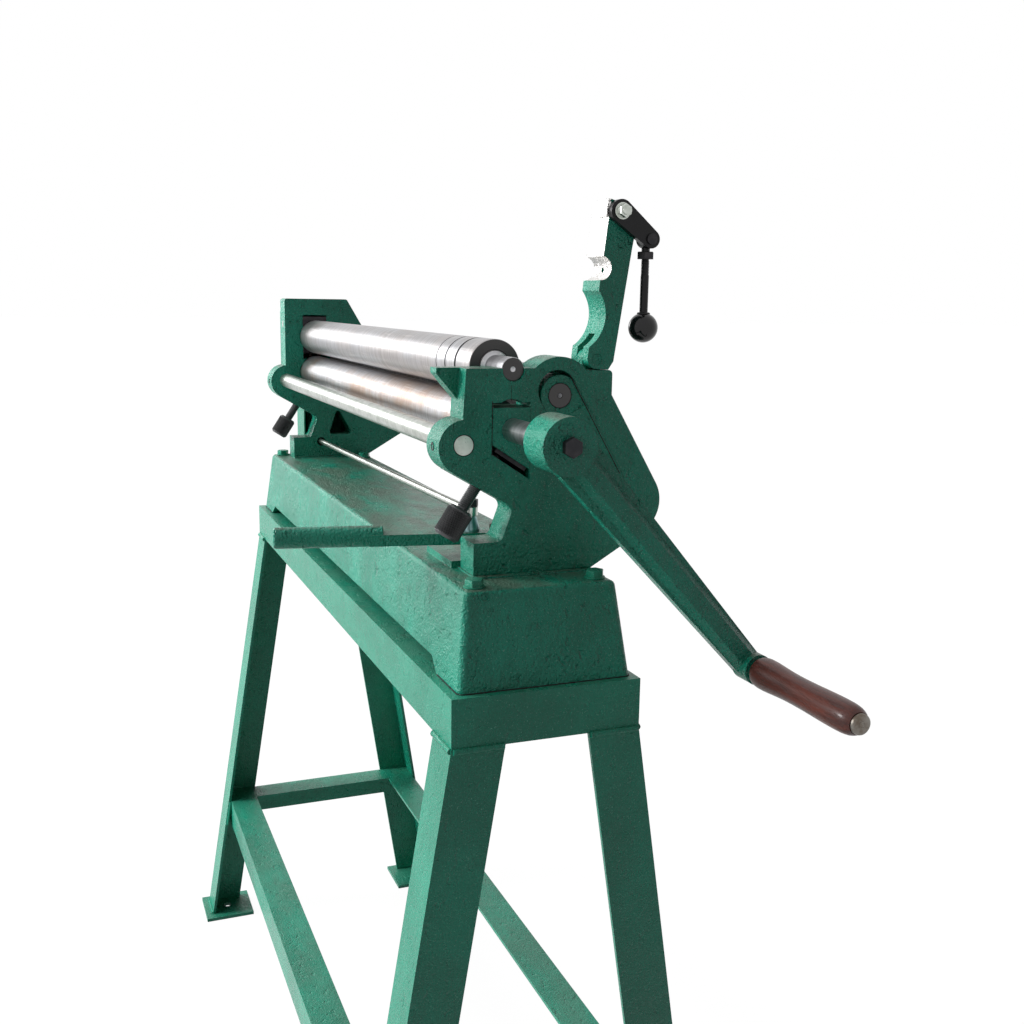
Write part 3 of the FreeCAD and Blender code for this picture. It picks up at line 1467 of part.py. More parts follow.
grip_y = S.crank_length * cosine(S.crank_angle)
grip_z = S.crank_length * sine(S.crank_angle)
spindle = section_body("grip_spindle", crank_eye_face)
spindle_end = S.grip_collar + S.grip_length + S.seat_gap * 2
spindle_outline = [
    (-S.crank_eye_length, ZERO),
    (-S.crank_eye_length, S.spindle_radius),
    (ZERO, S.spindle_radius),
    (ZERO, S.spindle_collar_radius),
    (S.grip_collar, S.spindle_collar_radius),
    (S.grip_collar, S.spindle_radius),
    (spindle_end, S.spindle_radius),
    (spindle_end, S.spindle_cap_radius),
    (spindle_end + S.spindle_cap, S.spindle_cap_radius - S.cap_chamfer),
    (spindle_end + S.spindle_cap, ZERO),
]
place(spindle, crank_eye_face, axis_y + grip_y, axis_z + grip_z)
revolve(spindle, spindle_outline)

# the wooden grip swells near the crank, then runs slimmer to its end
GRIP_SHAPE = [
    (0.00, 0.62),
    (0.02, 0.88),
    (0.06, 1.00),
    (0.12, 0.98),
    (0.20, 0.86),
    (0.30, 0.72),
    (0.42, 0.66),
    (0.55, 0.69),
    (0.70, 0.78),
    (0.82, 0.83),
    (0.90, 0.78),
    (0.95, 0.63),
    (0.98, 0.38),
    (1.00, 0.11),
]
grip_start = crank_eye_face + S.grip_collar + S.seat_gap
wood = new_body("wood_grip", grip_start, axis_y + grip_y, axis_z + grip_z)
swell = S.grip_bulge_radius - S.grip_neck_radius
grip_bore = S.spindle_radius + S.running_clearance
grip_outline = [(S.grip_length * run, S.grip_neck_radius + swell * rise) for run, rise in GRIP_SHAPE]
revolve(wood, [(ZERO, grip_bore)] + grip_outline + [(S.grip_length, grip_bore)])

# ---------------------------------------------------------------- gear cover
cover = section_body("gear_cover", left_outer)
cover_outline = [
    (-S.cover_half, S.cover_top),
    (-S.cover_half, S.cover_cheek),
    (S.cover_front, S.cover_chin),
    (S.cover_front, S.cover_foot),
    (S.cover_back, S.cover_foot),
    (S.cover_back, S.cover_shoulder),
    (S.cover_half, S.cover_top),
]
pad(cover, polygon(new_sketch(cover, "YZ_Plane"), cover_outline), S.cover_depth, back=True)
cover_middle = -S.cover_depth / 2
round_edges(cover, [(cover_middle, y, z) for y, z in cover_outline], S.cover_round)
document.recompute()
solid = cover.Tip
open_faces = [f"Face{i + 1}" for i, face in enumerate(solid.Shape.Faces) if face.BoundBox.XMin > -1e-6]
shell = cover.newObject("PartDesign::Thickness", "Shell")
shell.Base = (solid, open_faces)
bind(shell, "Value", S.cover_wall)
shell.Reversed = True
shell.Join = 1
for y, z in tabs:
    ear = new_sketch(cover, "YZ_Plane")
    if z.number > S.cover_top.number:
        root = S.cover_top - S.cover_wall
        box_outline(ear, y - S.tab_half, y + S.tab_half, root, S.cover_top + S.tab_reach)
    else:
        root = S.cover_back - S.cover_wall
        box_outline(ear, root, S.cover_back + S.tab_reach, z - S.tab_half, z + S.tab_half)
    pad(cover, ear, S.tab_thick, back=True)
    hole = circle(new_sketch(cover, "YZ_Plane"), y, z, S.cover_screw_radius + S.running_clearance)
    pocket(cover, hole, S.tab_thick)

screws = []
for y, z in tabs:
    spot = (axis_y + y, axis_z + z, QUARTER, ALONG_X)
    tab_face = left_outer - S.tab_thick
    screws.append(
        fuse(
            [
                cylinder(S.cover_screw_radius, S.cover_screw_length, tab_face, *spot),
                cylinder(S.cover_screw_head, S.cover_head_thick, tab_face - S.cover_head_thick, *spot),
            ]
        )
    )
group("cover_screws", screws)

# ---------------------------------------------------------------- checks and files
document.recompute()
faults = [
    f"{item.getParentGeoFeatureGroup().Label} {item.Label}: {item.getStatusString()}"
    for item in document.Objects
    if {"Invalid", "Error"} & set(item.State)
]
if faults:
    raise ValueError(f"these objects didn't recompute: {faults}")

inner = []
for item in document.Objects:
    inner += getattr(item, "Shapes", []) + getattr(item, "Links", [])
    if item.TypeId == "Part::Cut":
        inner += [item.Base, item.Tool]
nodes = []
for item in document.Objects:
    if item.TypeId == "PartDesign::Body":
        nodes.append(item)
        volume = 0.0
        for feature in item.Group:
            if not feature.isDerivedFrom("PartDesign::Feature"):
                continue
            kind = feature.TypeId.split("::")[1]
            now = feature.Shape.Volume
            if kind in ("Pocket", "Groove") and not now < volume - 1e-6:
                raise ValueError(f"{item.Label}: {feature.Label} removes nothing")
            if kind in ("Pad", "Revolution") and not now > volume + 1e-6:
                raise ValueError(f"{item.Label}: {feature.Label} adds nothing")
            volume = now
    elif item.TypeId.startswith("Part::") and item not in inner:
        nodes.append(item)

os.makedirs("parts", exist_ok=True)
for node in nodes:
    shape = node.Shape
    if shape.isNull() or not shape.isValid() or not shape.Solids:
        raise ValueError(f"{node.Label} has no valid solid")
    shape.exportStep(f"parts/{node.Label}.step")
    print(node.Label, len(shape.Solids), round(shape.Volume))
print(len(nodes), "nodes")
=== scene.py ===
import math

import bmesh
import bpy
from mathutils import Matrix, Vector


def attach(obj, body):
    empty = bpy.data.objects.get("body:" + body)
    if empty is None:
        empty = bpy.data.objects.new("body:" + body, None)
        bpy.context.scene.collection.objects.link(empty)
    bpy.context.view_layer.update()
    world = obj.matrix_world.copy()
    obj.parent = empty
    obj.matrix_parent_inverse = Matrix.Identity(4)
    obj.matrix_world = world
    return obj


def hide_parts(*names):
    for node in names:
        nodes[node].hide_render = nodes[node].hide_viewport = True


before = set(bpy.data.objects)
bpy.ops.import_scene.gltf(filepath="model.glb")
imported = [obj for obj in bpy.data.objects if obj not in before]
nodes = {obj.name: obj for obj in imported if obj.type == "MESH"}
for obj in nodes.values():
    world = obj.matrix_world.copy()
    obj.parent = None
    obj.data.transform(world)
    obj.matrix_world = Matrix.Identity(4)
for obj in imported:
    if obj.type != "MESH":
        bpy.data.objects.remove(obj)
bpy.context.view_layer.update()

# places are in millimetres from the lower roll's axis, at the middle of the stand
MM = 0.001
ROLL_AXIS = Vector((0, -11, 1080))
ALONG_ROLLS = Vector((1, 0, 0))
UP = Vector((0, 0, 1))
FRONT_RUN = 0.544639
FRONT_RISE = 0.838671
FRONT_SCREW = Vector((0, FRONT_RUN, FRONT_RISE))
REAR_RUN = 0.507538
REAR_RISE = 0.861629
REAR_SCREW = Vector((0, -REAR_RUN, REAR_RISE))
RIGHT_MIDDLE = 482.5
LEFT_MIDDLE = -518.5
HOUSINGS = (("right", RIGHT_MIDDLE), ("left", LEFT_MIDDLE))
RIGHT_FACE = 504.0
LEFT_FACE = -540.0
REAR_ROLL_Y = 54.0
REAR_ROLL_Z = 36.3
UPPER_ROLL_Z = 64.9
LEVER_PIVOT_X = 429.78
LEVER_PIVOT_Y = 11.47


# ------------------------------------------------------------ shader sums
class Shade:
    """One output of a finish's nodes, on which sums are written as plain expressions."""

    def __init__(self, finish, node, socket):
        self.finish = finish
        self.node = node
        self.socket = socket

    def __getitem__(self, name):
        return Shade(self.finish, self.node, self.node.outputs[name])

    def calc(self, operation, *values):
        return self.finish.add("ShaderNodeMath", {"operation": operation}, dict(enumerate(values)))

    def __add__(self, other):
        return self.calc("ADD", self, other)

    def __radd__(self, other):
        return self.calc("ADD", other, self)

    def __sub__(self, other):
        return self.calc("SUBTRACT", self, other)

    def __rsub__(self, other):
        return self.calc("SUBTRACT", other, self)

    def __mul__(self, other):
        return self.calc("MULTIPLY", self, other)

    def __rmul__(self, other):
        return self.calc("MULTIPLY", other, self)

    def within(self, low, high):
        """This value brought from low..high to 0..1 and kept inside it."""
        return self.finish.add(
            "ShaderNodeMapRange",
            {"interpolation_type": "SMOOTHSTEP"},
            {"Value": self, "From Min": low, "From Max": high},
        )


class Finish:
    """One material: its shader, and the nodes that vary it."""

    def __init__(self, name, **constants):
        self.material = bpy.data.materials.new(name)
        self.material.use_nodes = True
        self.tree = self.material.node_tree
        self.shader = self.tree.nodes["Principled BSDF"]
        for socket, value in constants.items():
            self.set(self.shader.inputs[socket.replace("_", " ")], value)

    def set(self, socket, value):
        if isinstance(value, Shade):
            self.tree.links.new(value.socket, socket)
        else:
            socket.default_value = value

    def add(self, kind, settings=None, inputs=None):
        node = self.tree.nodes.new(kind)
        for name, value in (settings or {}).items():
            setattr(node, name, value)
        for name, value in (inputs or {}).items():
            open_sockets = [s for s in node.inputs if s.enabled]
            if isinstance(name, int):
                socket = open_sockets[name]
            else:
                socket = next(s for s in open_sockets if s.name == name)
            self.set(socket, value)
        return Shade(self, node, next(s for s in node.outputs if s.enabled))

    def place(self, stretch=(1, 1, 1), turn=(0, 0, 0), shift=(0, 0, 0)):
        """Where a point of the piece is, stretched, turned and moved for a pattern."""
        place = self.add("ShaderNodeTexCoord")["Object"]
        return self.add(
            "ShaderNodeMapping",
            None,
            {"Vector": place, "Location": shift, "Rotation": turn, "Scale": stretch},
        )

    def parts(self, place):
        split = self.add("ShaderNodeSeparateXYZ", None, {0: place})
        return split["X"], split["Y"], split["Z"]

    def noise(self, scale, detail=3.0, rough=0.5, stretch=(1, 1, 1), place=None):
        return self.add(
            "ShaderNodeTexNoise",
            None,
            {"Vector": place or self.place(stretch), "Scale": scale, "Detail": detail, "Roughness": rough},
        )

    def lathe(self, centre):
        """Length and radius about a piece's own axis, so that tool marks run round it."""
        x, y, z = self.parts(self.place(shift=(0, -centre[0], -centre[1])))
        radius = (y * y + z * z).calc("SQRT", y * y + z * z)
        return self.add("ShaderNodeCombineXYZ", None, {0: x, 1: radius}), x, radius

    def blend(self, factor, first, second):
        return self.add("ShaderNodeMix", {"data_type": "RGBA"}, {"Factor": factor, "A": first, "B": second})

    def coat(self, socket, value):
        self.set(self.shader.inputs[socket], value)

    def bump(self, height, distance, strength=1.0, round_edges=0.0):
        inputs = {"Height": height, "Distance": distance, "Strength": strength}
        if round_edges:
            inputs["Normal"] = self.add("ShaderNodeBevel", {"samples": 6}, {"Radius": round_edges})
        self.coat("Normal", self.add("ShaderNodeBump", None, inputs))


def rgb(red, green, blue):
    """A colour as it is seen, 0 to 255, made linear for the shader."""
    linear = [((c / 255 + 0.055) / 1.055) ** 2.4 if c > 10 else c / 3294 for c in (red, green, blue)]
    return (*linear, 1)


# ------------------------------------------------------------ finishes
def enamel(name, light, dark, peel, depth, gloss, edge, top_greying, machined=None):
    """Green enamel over rough iron: orange peel, sags, scuffed patches and pale specks that are painted
    glints; upward faces are greyed in patches as painted light. Where machined says so, the iron is left
    bare and milled bright, its near-white colour partly a painted highlight."""
    paint = Finish(name, Coat_Weight=0.05, Coat_Roughness=0.10, Specular_IOR_Level=0.22)
    skin = paint.noise(peel, 2.0, 0.5)
    sag = paint.noise(40, 2.0, 0.5)
    tone = paint.noise(9, 4.0, 0.6)
    glint_specks = paint.noise(640, 2.0, 0.6)
    scuff = paint.noise(26, 5.0, 0.7, stretch=(0.4, 1, 1.6))
    body = paint.blend(tone.within(0.34, 0.66), dark, light)
    worn = paint.blend(scuff.within(0.58, 0.78) * 0.30, body, rgb(92, 146, 130))
    # painted glints: pale specks scattered over the paint
    colour = paint.blend(glint_specks.within(0.63, 0.70) * 0.42, worn, rgb(150, 222, 198))
    rough = gloss + tone * 0.12 + scuff.within(0.55, 0.80) * 0.14
    if machined:
        bare = machined(paint)
        milled = paint.noise(420, 2.0, 0.5, stretch=(0.05, 1, 1))
        # bare milled iron, painted near white as a highlight
        milled_iron_and_highlight = paint.blend(milled.within(0.35, 0.65), rgb(226, 224, 221), rgb(244, 243, 241))
        colour = paint.blend(bare, colour, milled_iron_and_highlight)
        rough = rough * (1.0 - bare) + bare * 0.34
        paint.coat("Metallic", bare)
    # painted light: upward faces are greyed in patches
    _, _, level = paint.parts(paint.add("ShaderNodeNewGeometry")["Normal"])
    top_greying_mask = level.within(0.80, 0.97) * scuff.within(0.30, 0.62) * top_greying
    paint.coat("Base Color", paint.blend(top_greying_mask, colour, rgb(98, 104, 92)))
    paint.coat("Roughness", rough + top_greying_mask * 0.10)
    dents = paint.noise(95, 2.0, 0.5).within(0.60, 0.74)
    paint.bump(skin + sag * 1.6 + glint_specks * 0.30 - dents * 0.8, depth, 1.0, edge)
    return paint.material


# shaders measure in metres, from the floor and the middle of the stand
OPEN_ANGLE = math.radians(96.8)
ARM_PIVOT = (0.0863, 1.1552)
ARM_PARTING = 1.14645
ARM_BORE = 0.01292
UPPER_CENTRE = (-0.011, 1.1449)
LOWER_CENTRE = (-0.011, 1.080)
REAR_CENTRE = (0.043, 1.1163)


def arm_machining(paint):
    """The release arm is milled on its parting face and bored for the upper journal."""
    y, z = ARM_PIVOT
    shift = (
        0,
        y - y * math.cos(OPEN_ANGLE) + z * math.sin(OPEN_ANGLE),
        z - y * math.sin(OPEN_ANGLE) - z * math.cos(OPEN_ANGLE),
    )
    _, across, up = paint.parts(paint.place(turn=(OPEN_ANGLE, 0, 0), shift=shift))
    face = up.calc("LESS_THAN", up, ARM_PARTING) * across.calc("LESS_THAN", across, 0.0)
    side = across - UPPER_CENTRE[0]
    rise = up - UPPER_CENTRE[1]
    bore = side.calc("LESS_THAN", side * side + rise * rise, ARM_BORE**2)
    return face.calc("MAXIMUM", face, bore)


CASTING_LIGHT = rgb(32, 154, 128)
CASTING_DARK = rgb(22, 132, 108)
IRON_LIGHT = rgb(30, 150, 122)
IRON_DARK = rgb(24, 134, 108)
green_casting = enamel(
    "green_casting_enamel",
    CASTING_LIGHT,
    CASTING_DARK,
    peel=330,
    depth=0.0026,
    gloss=0.20,
    edge=0.0016,
    top_greying=0.75,
)
green_arm = enamel(
    "green_arm_enamel",
    CASTING_LIGHT,
    CASTING_DARK,
    peel=330,
    depth=0.0020,
    gloss=0.20,
    edge=0.0012,
    top_greying=0.3,
    machined=arm_machining,
)
green_iron = enamel(
    "green_iron_enamel",
    IRON_LIGHT,
    IRON_DARK,
    peel=480,
    depth=0.0010,
    gloss=0.20,
    edge=0.0009,
    top_greying=0.25,
)


BARREL_LEFT = -0.490
GROOVES_END = 0.440
SHOULDER_LEFT = 0.4447
SHOULDER_RIGHT = 0.4453
GROOVED_RADIUS = 0.0298
ROOT_RADIUS = 0.0187
CENTRE_HOLE = 0.0031


def ground_steel(name, centre, stain, journal_end):
    """Rolls, turned and ground: fine rings, faint scratches and brown handling stain on the
    working length. The faced ends are painted dark grey as painted shade and reflection, and the bottoms of
    the wire grooves, the root of the shoulder and the centre hole near black as painted shade."""
    steel = Finish(name, Metallic=1.0)
    lathe, along, radius = steel.lathe(centre)
    rings = steel.noise(1500, 2.0, 0.6, place=lathe)
    bands = steel.noise(210, 3.0, 0.6, place=lathe)
    cloud = steel.noise(15, 5.0, 0.65, stretch=(0.5, 1, 1))
    scratch = steel.noise(260, 2.0, 0.5, stretch=(0.04, 1, 1)).within(0.60, 0.72)
    right = along.calc("GREATER_THAN", along, SHOULDER_LEFT)
    working = 1.0 - right
    shoulder = right * along.calc("LESS_THAN", along, SHOULDER_RIGHT)
    # painted shade and reflection: the faced ends and the shoulder are painted dark grey
    shaded_ends = shoulder.calc("MAXIMUM", shoulder, along.calc("GREATER_THAN", along, journal_end))
    groove_shade = radius.calc("LESS_THAN", radius, GROOVED_RADIUS) * along.calc("LESS_THAN", along, GROOVES_END)
    groove_shade = groove_shade * along.calc("GREATER_THAN", along, BARREL_LEFT)
    root = shoulder * radius.calc("LESS_THAN", radius, ROOT_RADIUS)
    centre_hole_shade = shaded_ends * radius.calc("LESS_THAN", radius, CENTRE_HOLE)
    bare = steel.blend(bands.within(0.3, 0.7) * 0.7 + rings * 0.3, rgb(146, 146, 148), rgb(188, 188, 191))
    rusty = steel.blend(cloud.within(0.40, 0.66) * working * stain, bare, rgb(150, 118, 92))
    marked = steel.blend(scratch * 0.30, rusty, rgb(232, 230, 226))
    with_shaded_ends = steel.blend(shaded_ends, marked, rgb(66, 65, 65))
    # painted shade: groove bottoms, the shoulder's root and the centre hole are painted near black
    dark = groove_shade.calc("MAXIMUM", groove_shade, centre_hole_shade.calc("MAXIMUM", centre_hole_shade, root))
    steel.coat("Base Color", steel.blend(dark * 0.88, with_shaded_ends, rgb(26, 26, 29)))
    steel.coat("Roughness", 0.22 + rings * 0.20 + cloud * 0.10)
    steel.bump(rings + scratch * 0.4, 0.00008, 0.6)
    return steel.material


def plated(name, colour, warm, rough, metallic=1.0, edge=0.0006, shine=0.5):
    """Small turned or pressed parts, plated, blacked or painted, and the dark of the seams, which is
    painted shade.
    """
    metal = Finish(name, Metallic=metallic, Specular_IOR_Level=shine)
    cloud = metal.noise(70, 4.0, 0.6)
    fine = metal.noise(800, 2.0, 0.6)
    metal.coat("Base Color", metal.blend(cloud.within(0.38, 0.68), colour, warm))
    metal.coat("Roughness", rough + cloud * 0.18)
    metal.bump(fine, 0.00010, 0.5, edge)
    return metal.material


upper_steel = ground_steel("ground_steel_upper", UPPER_CENTRE, stain=0.22, journal_end=0.5003)
lower_steel = ground_steel("ground_steel_lower", LOWER_CENTRE, stain=0.75, journal_end=0.6516)
rear_steel = ground_steel("ground_steel_rear", REAR_CENTRE, stain=0.40, journal_end=0.5037)
zinc = plated("zinc_plate", rgb(198, 202, 196), rgb(168, 174, 166), rough=0.22)
dull_steel = plated("dull_steel", rgb(128, 124, 118), rgb(100, 90, 80), rough=0.36)
blue_steel = plated("blued_steel", rgb(140, 168, 170), rgb(108, 140, 142), rough=0.26)
black_oxide = plated("black_oxide", rgb(34, 34, 38), rgb(54, 52, 54), rough=0.32, metallic=0.6)
black_paint = plated(
    "black_paint", rgb(17, 17, 19), rgb(27, 27, 30), rough=0.24, metallic=0.0, shine=0.25
)
# painted shade: near-black finish for the dark lines in seams and gaps
painted_seam_shade = plated(
    "painted_seam_shade", rgb(9, 13, 12), rgb(17, 22, 20), rough=0.50, metallic=0.0, edge=0, shine=0.2
)


def knurled_steel():
    """Blacked steel, rubbed pale on its points and threads, with painted shade darkening its cuts."""
    steel = Finish("knurled_black_steel", Metallic=0.25, Specular_IOR_Level=0.4)
    height = steel.add("ShaderNodeNewGeometry")["Pointiness"].within(0.47, 0.55)
    worn = steel.noise(60, 3.0, 0.6)
    # painted shade: the cuts of knurls and threads are painted near black; the rubbed points are pale
    colour = steel.blend(height, rgb(4, 4, 5), rgb(88, 88, 90))
    steel.coat("Base Color", steel.blend(worn.within(0.45, 0.75) * 0.35, colour, rgb(48, 47, 50)))
    steel.coat("Roughness", 0.28 + worn * 0.14)
    return steel.material


knurled_black = knurled_steel()


def ball_plastic():
    """Glossy black plastic with a faint haze."""
    ball = Finish("black_ball_plastic", Coat_Weight=0.35, Coat_Roughness=0.05, Specular_IOR_Level=0.2)
    haze = ball.noise(45, 3.0, 0.5)
    ball.coat("Base Color", ball.blend(haze, rgb(10, 10, 12), rgb(20, 20, 24)))
    ball.coat("Roughness", 0.10 + haze * 0.12)
    return ball.material


def grip_wood():
    """Dark varnished hardwood, its grain along the grip."""
    wood = Finish("dark_grip_wood", Coat_Weight=0.14, Coat_Roughness=0.16, Specular_IOR_Level=0.3)
    grain = wood.noise(160, 5.0, 0.62, stretch=(0.09, 1, 1))
    pores = wood.noise(900, 2.0, 0.6, stretch=(0.06, 1, 1)).within(0.56, 0.68)
    tone = wood.noise(22, 3.0, 0.5, stretch=(0.4, 1, 1))
    figure = wood.blend(grain.within(0.34, 0.68), rgb(54, 23, 18), rgb(96, 44, 33))
    shade = wood.blend(tone.within(0.4, 0.7) * 0.5, figure, rgb(66, 28, 22))
    wood.coat("Base Color", wood.blend(pores * 0.7, shade, rgb(44, 20, 16)))
    wood.coat("Roughness", 0.30 + grain * 0.2)
    wood.bump(grain * 0.4 - pores, 0.0003, 0.6)
    return wood.material


black_ball = ball_plastic()
dark_wood = grip_wood()

# nodes that a finer piece replaces below get no finish here
NODE_FINISH = {
    green_iron: (
        "rail_front rail_back rail_left rail_right brace_front brace_back brace_left brace_right"
        " leg_front_left leg_back_left leg_front_right leg_back_right foot_pads gear_cover"
    ),
    green_casting: (
        "base_casting right_housing left_housing crank_arm hand_lever tail_arm arm_pin"
        " rear_block_right rear_block_left lower_block_right lower_block_left"
    ),
    green_arm: "release_arm",
    rear_steel: "rear_roll",
    lower_steel: "lower_roll",
    zinc: "housing_bolts tie_bar link_rod rod_nuts swivel_pin clamp_stud",
    blue_steel: "link_spacer",
    dull_steel: "lower_gear upper_gear",
    black_oxide: "swivel_block thrust_shoe_right thrust_shoe_left clamp_eye_pin",
    black_paint: "clamp_link clamp_eye",
}
for finish, names in NODE_FINISH.items():
    for name in names.split():
        mesh = nodes[name].data
        mesh.materials.clear()
        mesh.materials.append(finish)


# ------------------------------------------------------------ making pieces
def axes(x, y, z):
    """The turn that carries the world's axes to these three."""
    return Matrix((x, y, z)).transposed().to_4x4()


def aim(place, axis):
    """Carry a shape drawn along Z, in millimetres, to its place and axis on the machine."""
    ahead = Vector(axis).normalized()
    side = ALONG_ROLLS if abs(ahead.x) < 0.9 else Vector((0, 1, 0))
    side = (side - ahead * side.dot(ahead)).normalized()
    turn = axes(side, ahead.cross(side), ahead)
    return Matrix.Scale(MM, 4) @ Matrix.Translation(ROLL_AXIS + Vector(place)) @ turn


def put(shape, place, axis=UP):
    """Set a shape in its place on the machine, its Z along an axis."""
    bmesh.ops.transform(shape, matrix=aim(place, axis), verts=shape.verts)
    return shape


def lift(shape, height):
    """Move a whole shape up its own Z."""
    bmesh.ops.translate(shape, verts=shape.verts, vec=(0, 0, height))
    return shape


def corners_of(made):
    """The corners among what an extrusion made."""
    return [g for g in made if isinstance(g, bmesh.types.BMVert)]


def bevel(shape, edges, offset, segments=1):
    """Turn or file these edges off."""
    bmesh.ops.bevel(
        shape, geom=edges, offset=offset, affect="EDGES", segments=segments, profile=0.5, material=-1
    )


def piece(name, shapes, finish, body, replaced=(), smooth=35):
    """Join shapes into one piece that rides on a body of the machine."""
    mesh = bpy.data.meshes.new(name)
    whole = bmesh.new()
    for shape in shapes:
        shape.to_mesh(mesh)
        whole.from_mesh(mesh)
        shape.free()
    bmesh.ops.recalc_face_normals(whole, faces=whole.faces)
    whole.to_mesh(mesh)
    whole.free()
    mesh.shade_smooth()
    mesh.set_sharp_from_angle(angle=math.radians(smooth))
    mesh.materials.clear()
    mesh.materials.append(finish)
    item = bpy.data.objects.new(name, mesh)
    bpy.context.scene.collection.objects.link(item)
    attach(item, body)
    if replaced:
        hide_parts(*replaced)


def turned(profile, steps=48, closed=False):
    """A lathe shape: (radius, height) pairs spun round Z."""
    shape = bmesh.new()
    corners = [shape.verts.new((radius, 0, height)) for radius, height in profile]
    ends = corners[1:] + corners[:1] if closed else corners[1:]
    edges = [shape.edges.new(pair) for pair in zip(corners, ends)]
    bmesh.ops.spin(
        shape,
        geom=corners + edges,
        axis=UP,
        cent=(0, 0, 0),
        angle=math.tau,
        steps=steps,
        use_merge=True,
    )
    bmesh.ops.remove_doubles(shape, verts=shape.verts, dist=0.0001)
    return shape


def thread(radius, depth, pitch, length, steps=18):
    """The V ridge of a screw thread, wound up Z over its root."""
    turns = int(length / pitch) - 1
    shape = bmesh.new()
    ridge = ((radius - depth, 0.0), (radius, pitch / 2), (radius - depth, pitch))
    corners = [shape.verts.new((r, 0, height)) for r, height in ridge]
    edges = [shape.edges.new(pair) for pair in zip(corners, corners[1:])]
    bmesh.ops.spin(
        shape,
        geom=corners + edges,
        axis=UP,
        cent=(0, 0, 0),
        dvec=(0, 0, pitch / steps),
        angle=math.tau * turns,
        steps=steps * turns,
    )
    bmesh.ops.remove_doubles(shape, verts=shape.verts, dist=0.0001)
    return shape


def threaded_rod(radius, depth, pitch, length):
    """A plain core with a thread over its whole length, from Z 0 up."""
    core = radius - depth * 0.9
    end = pitch * 0.6
    foot = ((0, 0), (core - end, 0), (core, end))
    tip = ((core, length - end), (core - end, length), (0, length))
    return [turned(foot + tip, 32), thread(radius, depth, pitch, length)]


def hexagon_head(flats, height, chamfer=1.0):
    """A hexagon head or nut from Z 0 up, its top corners turned off."""
    shape = bmesh.new()
    corner = flats / math.sqrt(3)
    bmesh.ops.create_cone(
        shape, cap_ends=True, segments=6, radius1=corner, radius2=corner, depth=height,
        matrix=Matrix.Translation((0, 0, height / 2)),
    )
    top = [e for e in shape.edges if min(v.co.z for v in e.verts) > height - 0.01]
    bevel(shape, top, chamfer, 2)
    sides = [e for e in shape.edges if abs(e.verts[0].co.z - e.verts[1].co.z) > height * 0.5]
    bevel(shape, sides, 0.25)
    return shape


def hexagon_socket(key_radius, rim_radius, rim_steps, depth):
    """The mouth of a hexagon socket: a flat rim at Z 0 round a closed hollow."""
    shape = bmesh.new()
    key = bmesh.ops.create_circle(shape, segments=6, radius=key_radius)["verts"]
    bmesh.ops.create_circle(shape, segments=rim_steps, radius=rim_radius)
    mouth = [e for e in shape.edges if e.verts[0] in key]
    bmesh.ops.bridge_loops(shape, edges=shape.edges[:])
    floor = corners_of(bmesh.ops.extrude_edge_only(shape, edges=mouth)["geom"])
    bmesh.ops.translate(shape, verts=floor, vec=(0, 0, -depth))
    bmesh.ops.contextual_create(shape, geom=floor)
    return shape


def plate(size, round_corners, segments, upright_only=False):
    """A rounded plate about the origin, flat in Z."""
    shape = bmesh.new()
    bmesh.ops.create_cube(shape, size=1.0)
    bmesh.ops.scale(shape, vec=size, verts=shape.verts)
    edges = shape.edges[:]
    if upright_only:
        edges = [e for e in edges if abs(e.verts[0].co.z - e.verts[1].co.z) > size[2] * 0.5]
    bevel(shape, edges, round_corners, segments)
    return shape


def washer(inner, outer, thick):
    """A washer from Z 0 up, its outer edges turned off."""
    rim = 0.3
    return turned(
        (
            (inner, 0),
            (outer - rim, 0),
            (outer, rim),
            (outer, thick - rim),
            (outer - rim, thick),
            (inner, thick),
        ),
        40,
        closed=True,
    )


def knurled_sleeve(radius, length, around, rows, height):
    """Diamond knurling from Z 0 up: square cells are crossed, their sides dissolved, and the
    diamonds that are left are raised to points."""
    shape = bmesh.new()
    bmesh.ops.create_circle(shape, segments=around, radius=radius)
    ring = list(shape.edges)
    for _ in range(rows):
        made = bmesh.ops.extrude_edge_only(shape, edges=ring)["geom"]
        lifted = corners_of(made)
        bmesh.ops.translate(shape, verts=lifted, vec=(0, 0, length / rows))
        edges = [g for g in made if isinstance(g, bmesh.types.BMEdge)]
        ring = [e for e in edges if e.verts[0] in lifted and e.verts[1] in lifted]
    square_sides = [e for e in shape.edges if len(e.link_faces) == 2]
    bmesh.ops.poke(shape, faces=shape.faces, offset=0.0)
    bmesh.ops.dissolve_edges(shape, edges=square_sides, use_verts=False)
    bmesh.ops.recalc_face_normals(shape, faces=shape.faces)
    diamonds = [f for f in shape.faces if len(f.verts) == 4]
    bmesh.ops.poke(shape, faces=diamonds, offset=height)
    return shape


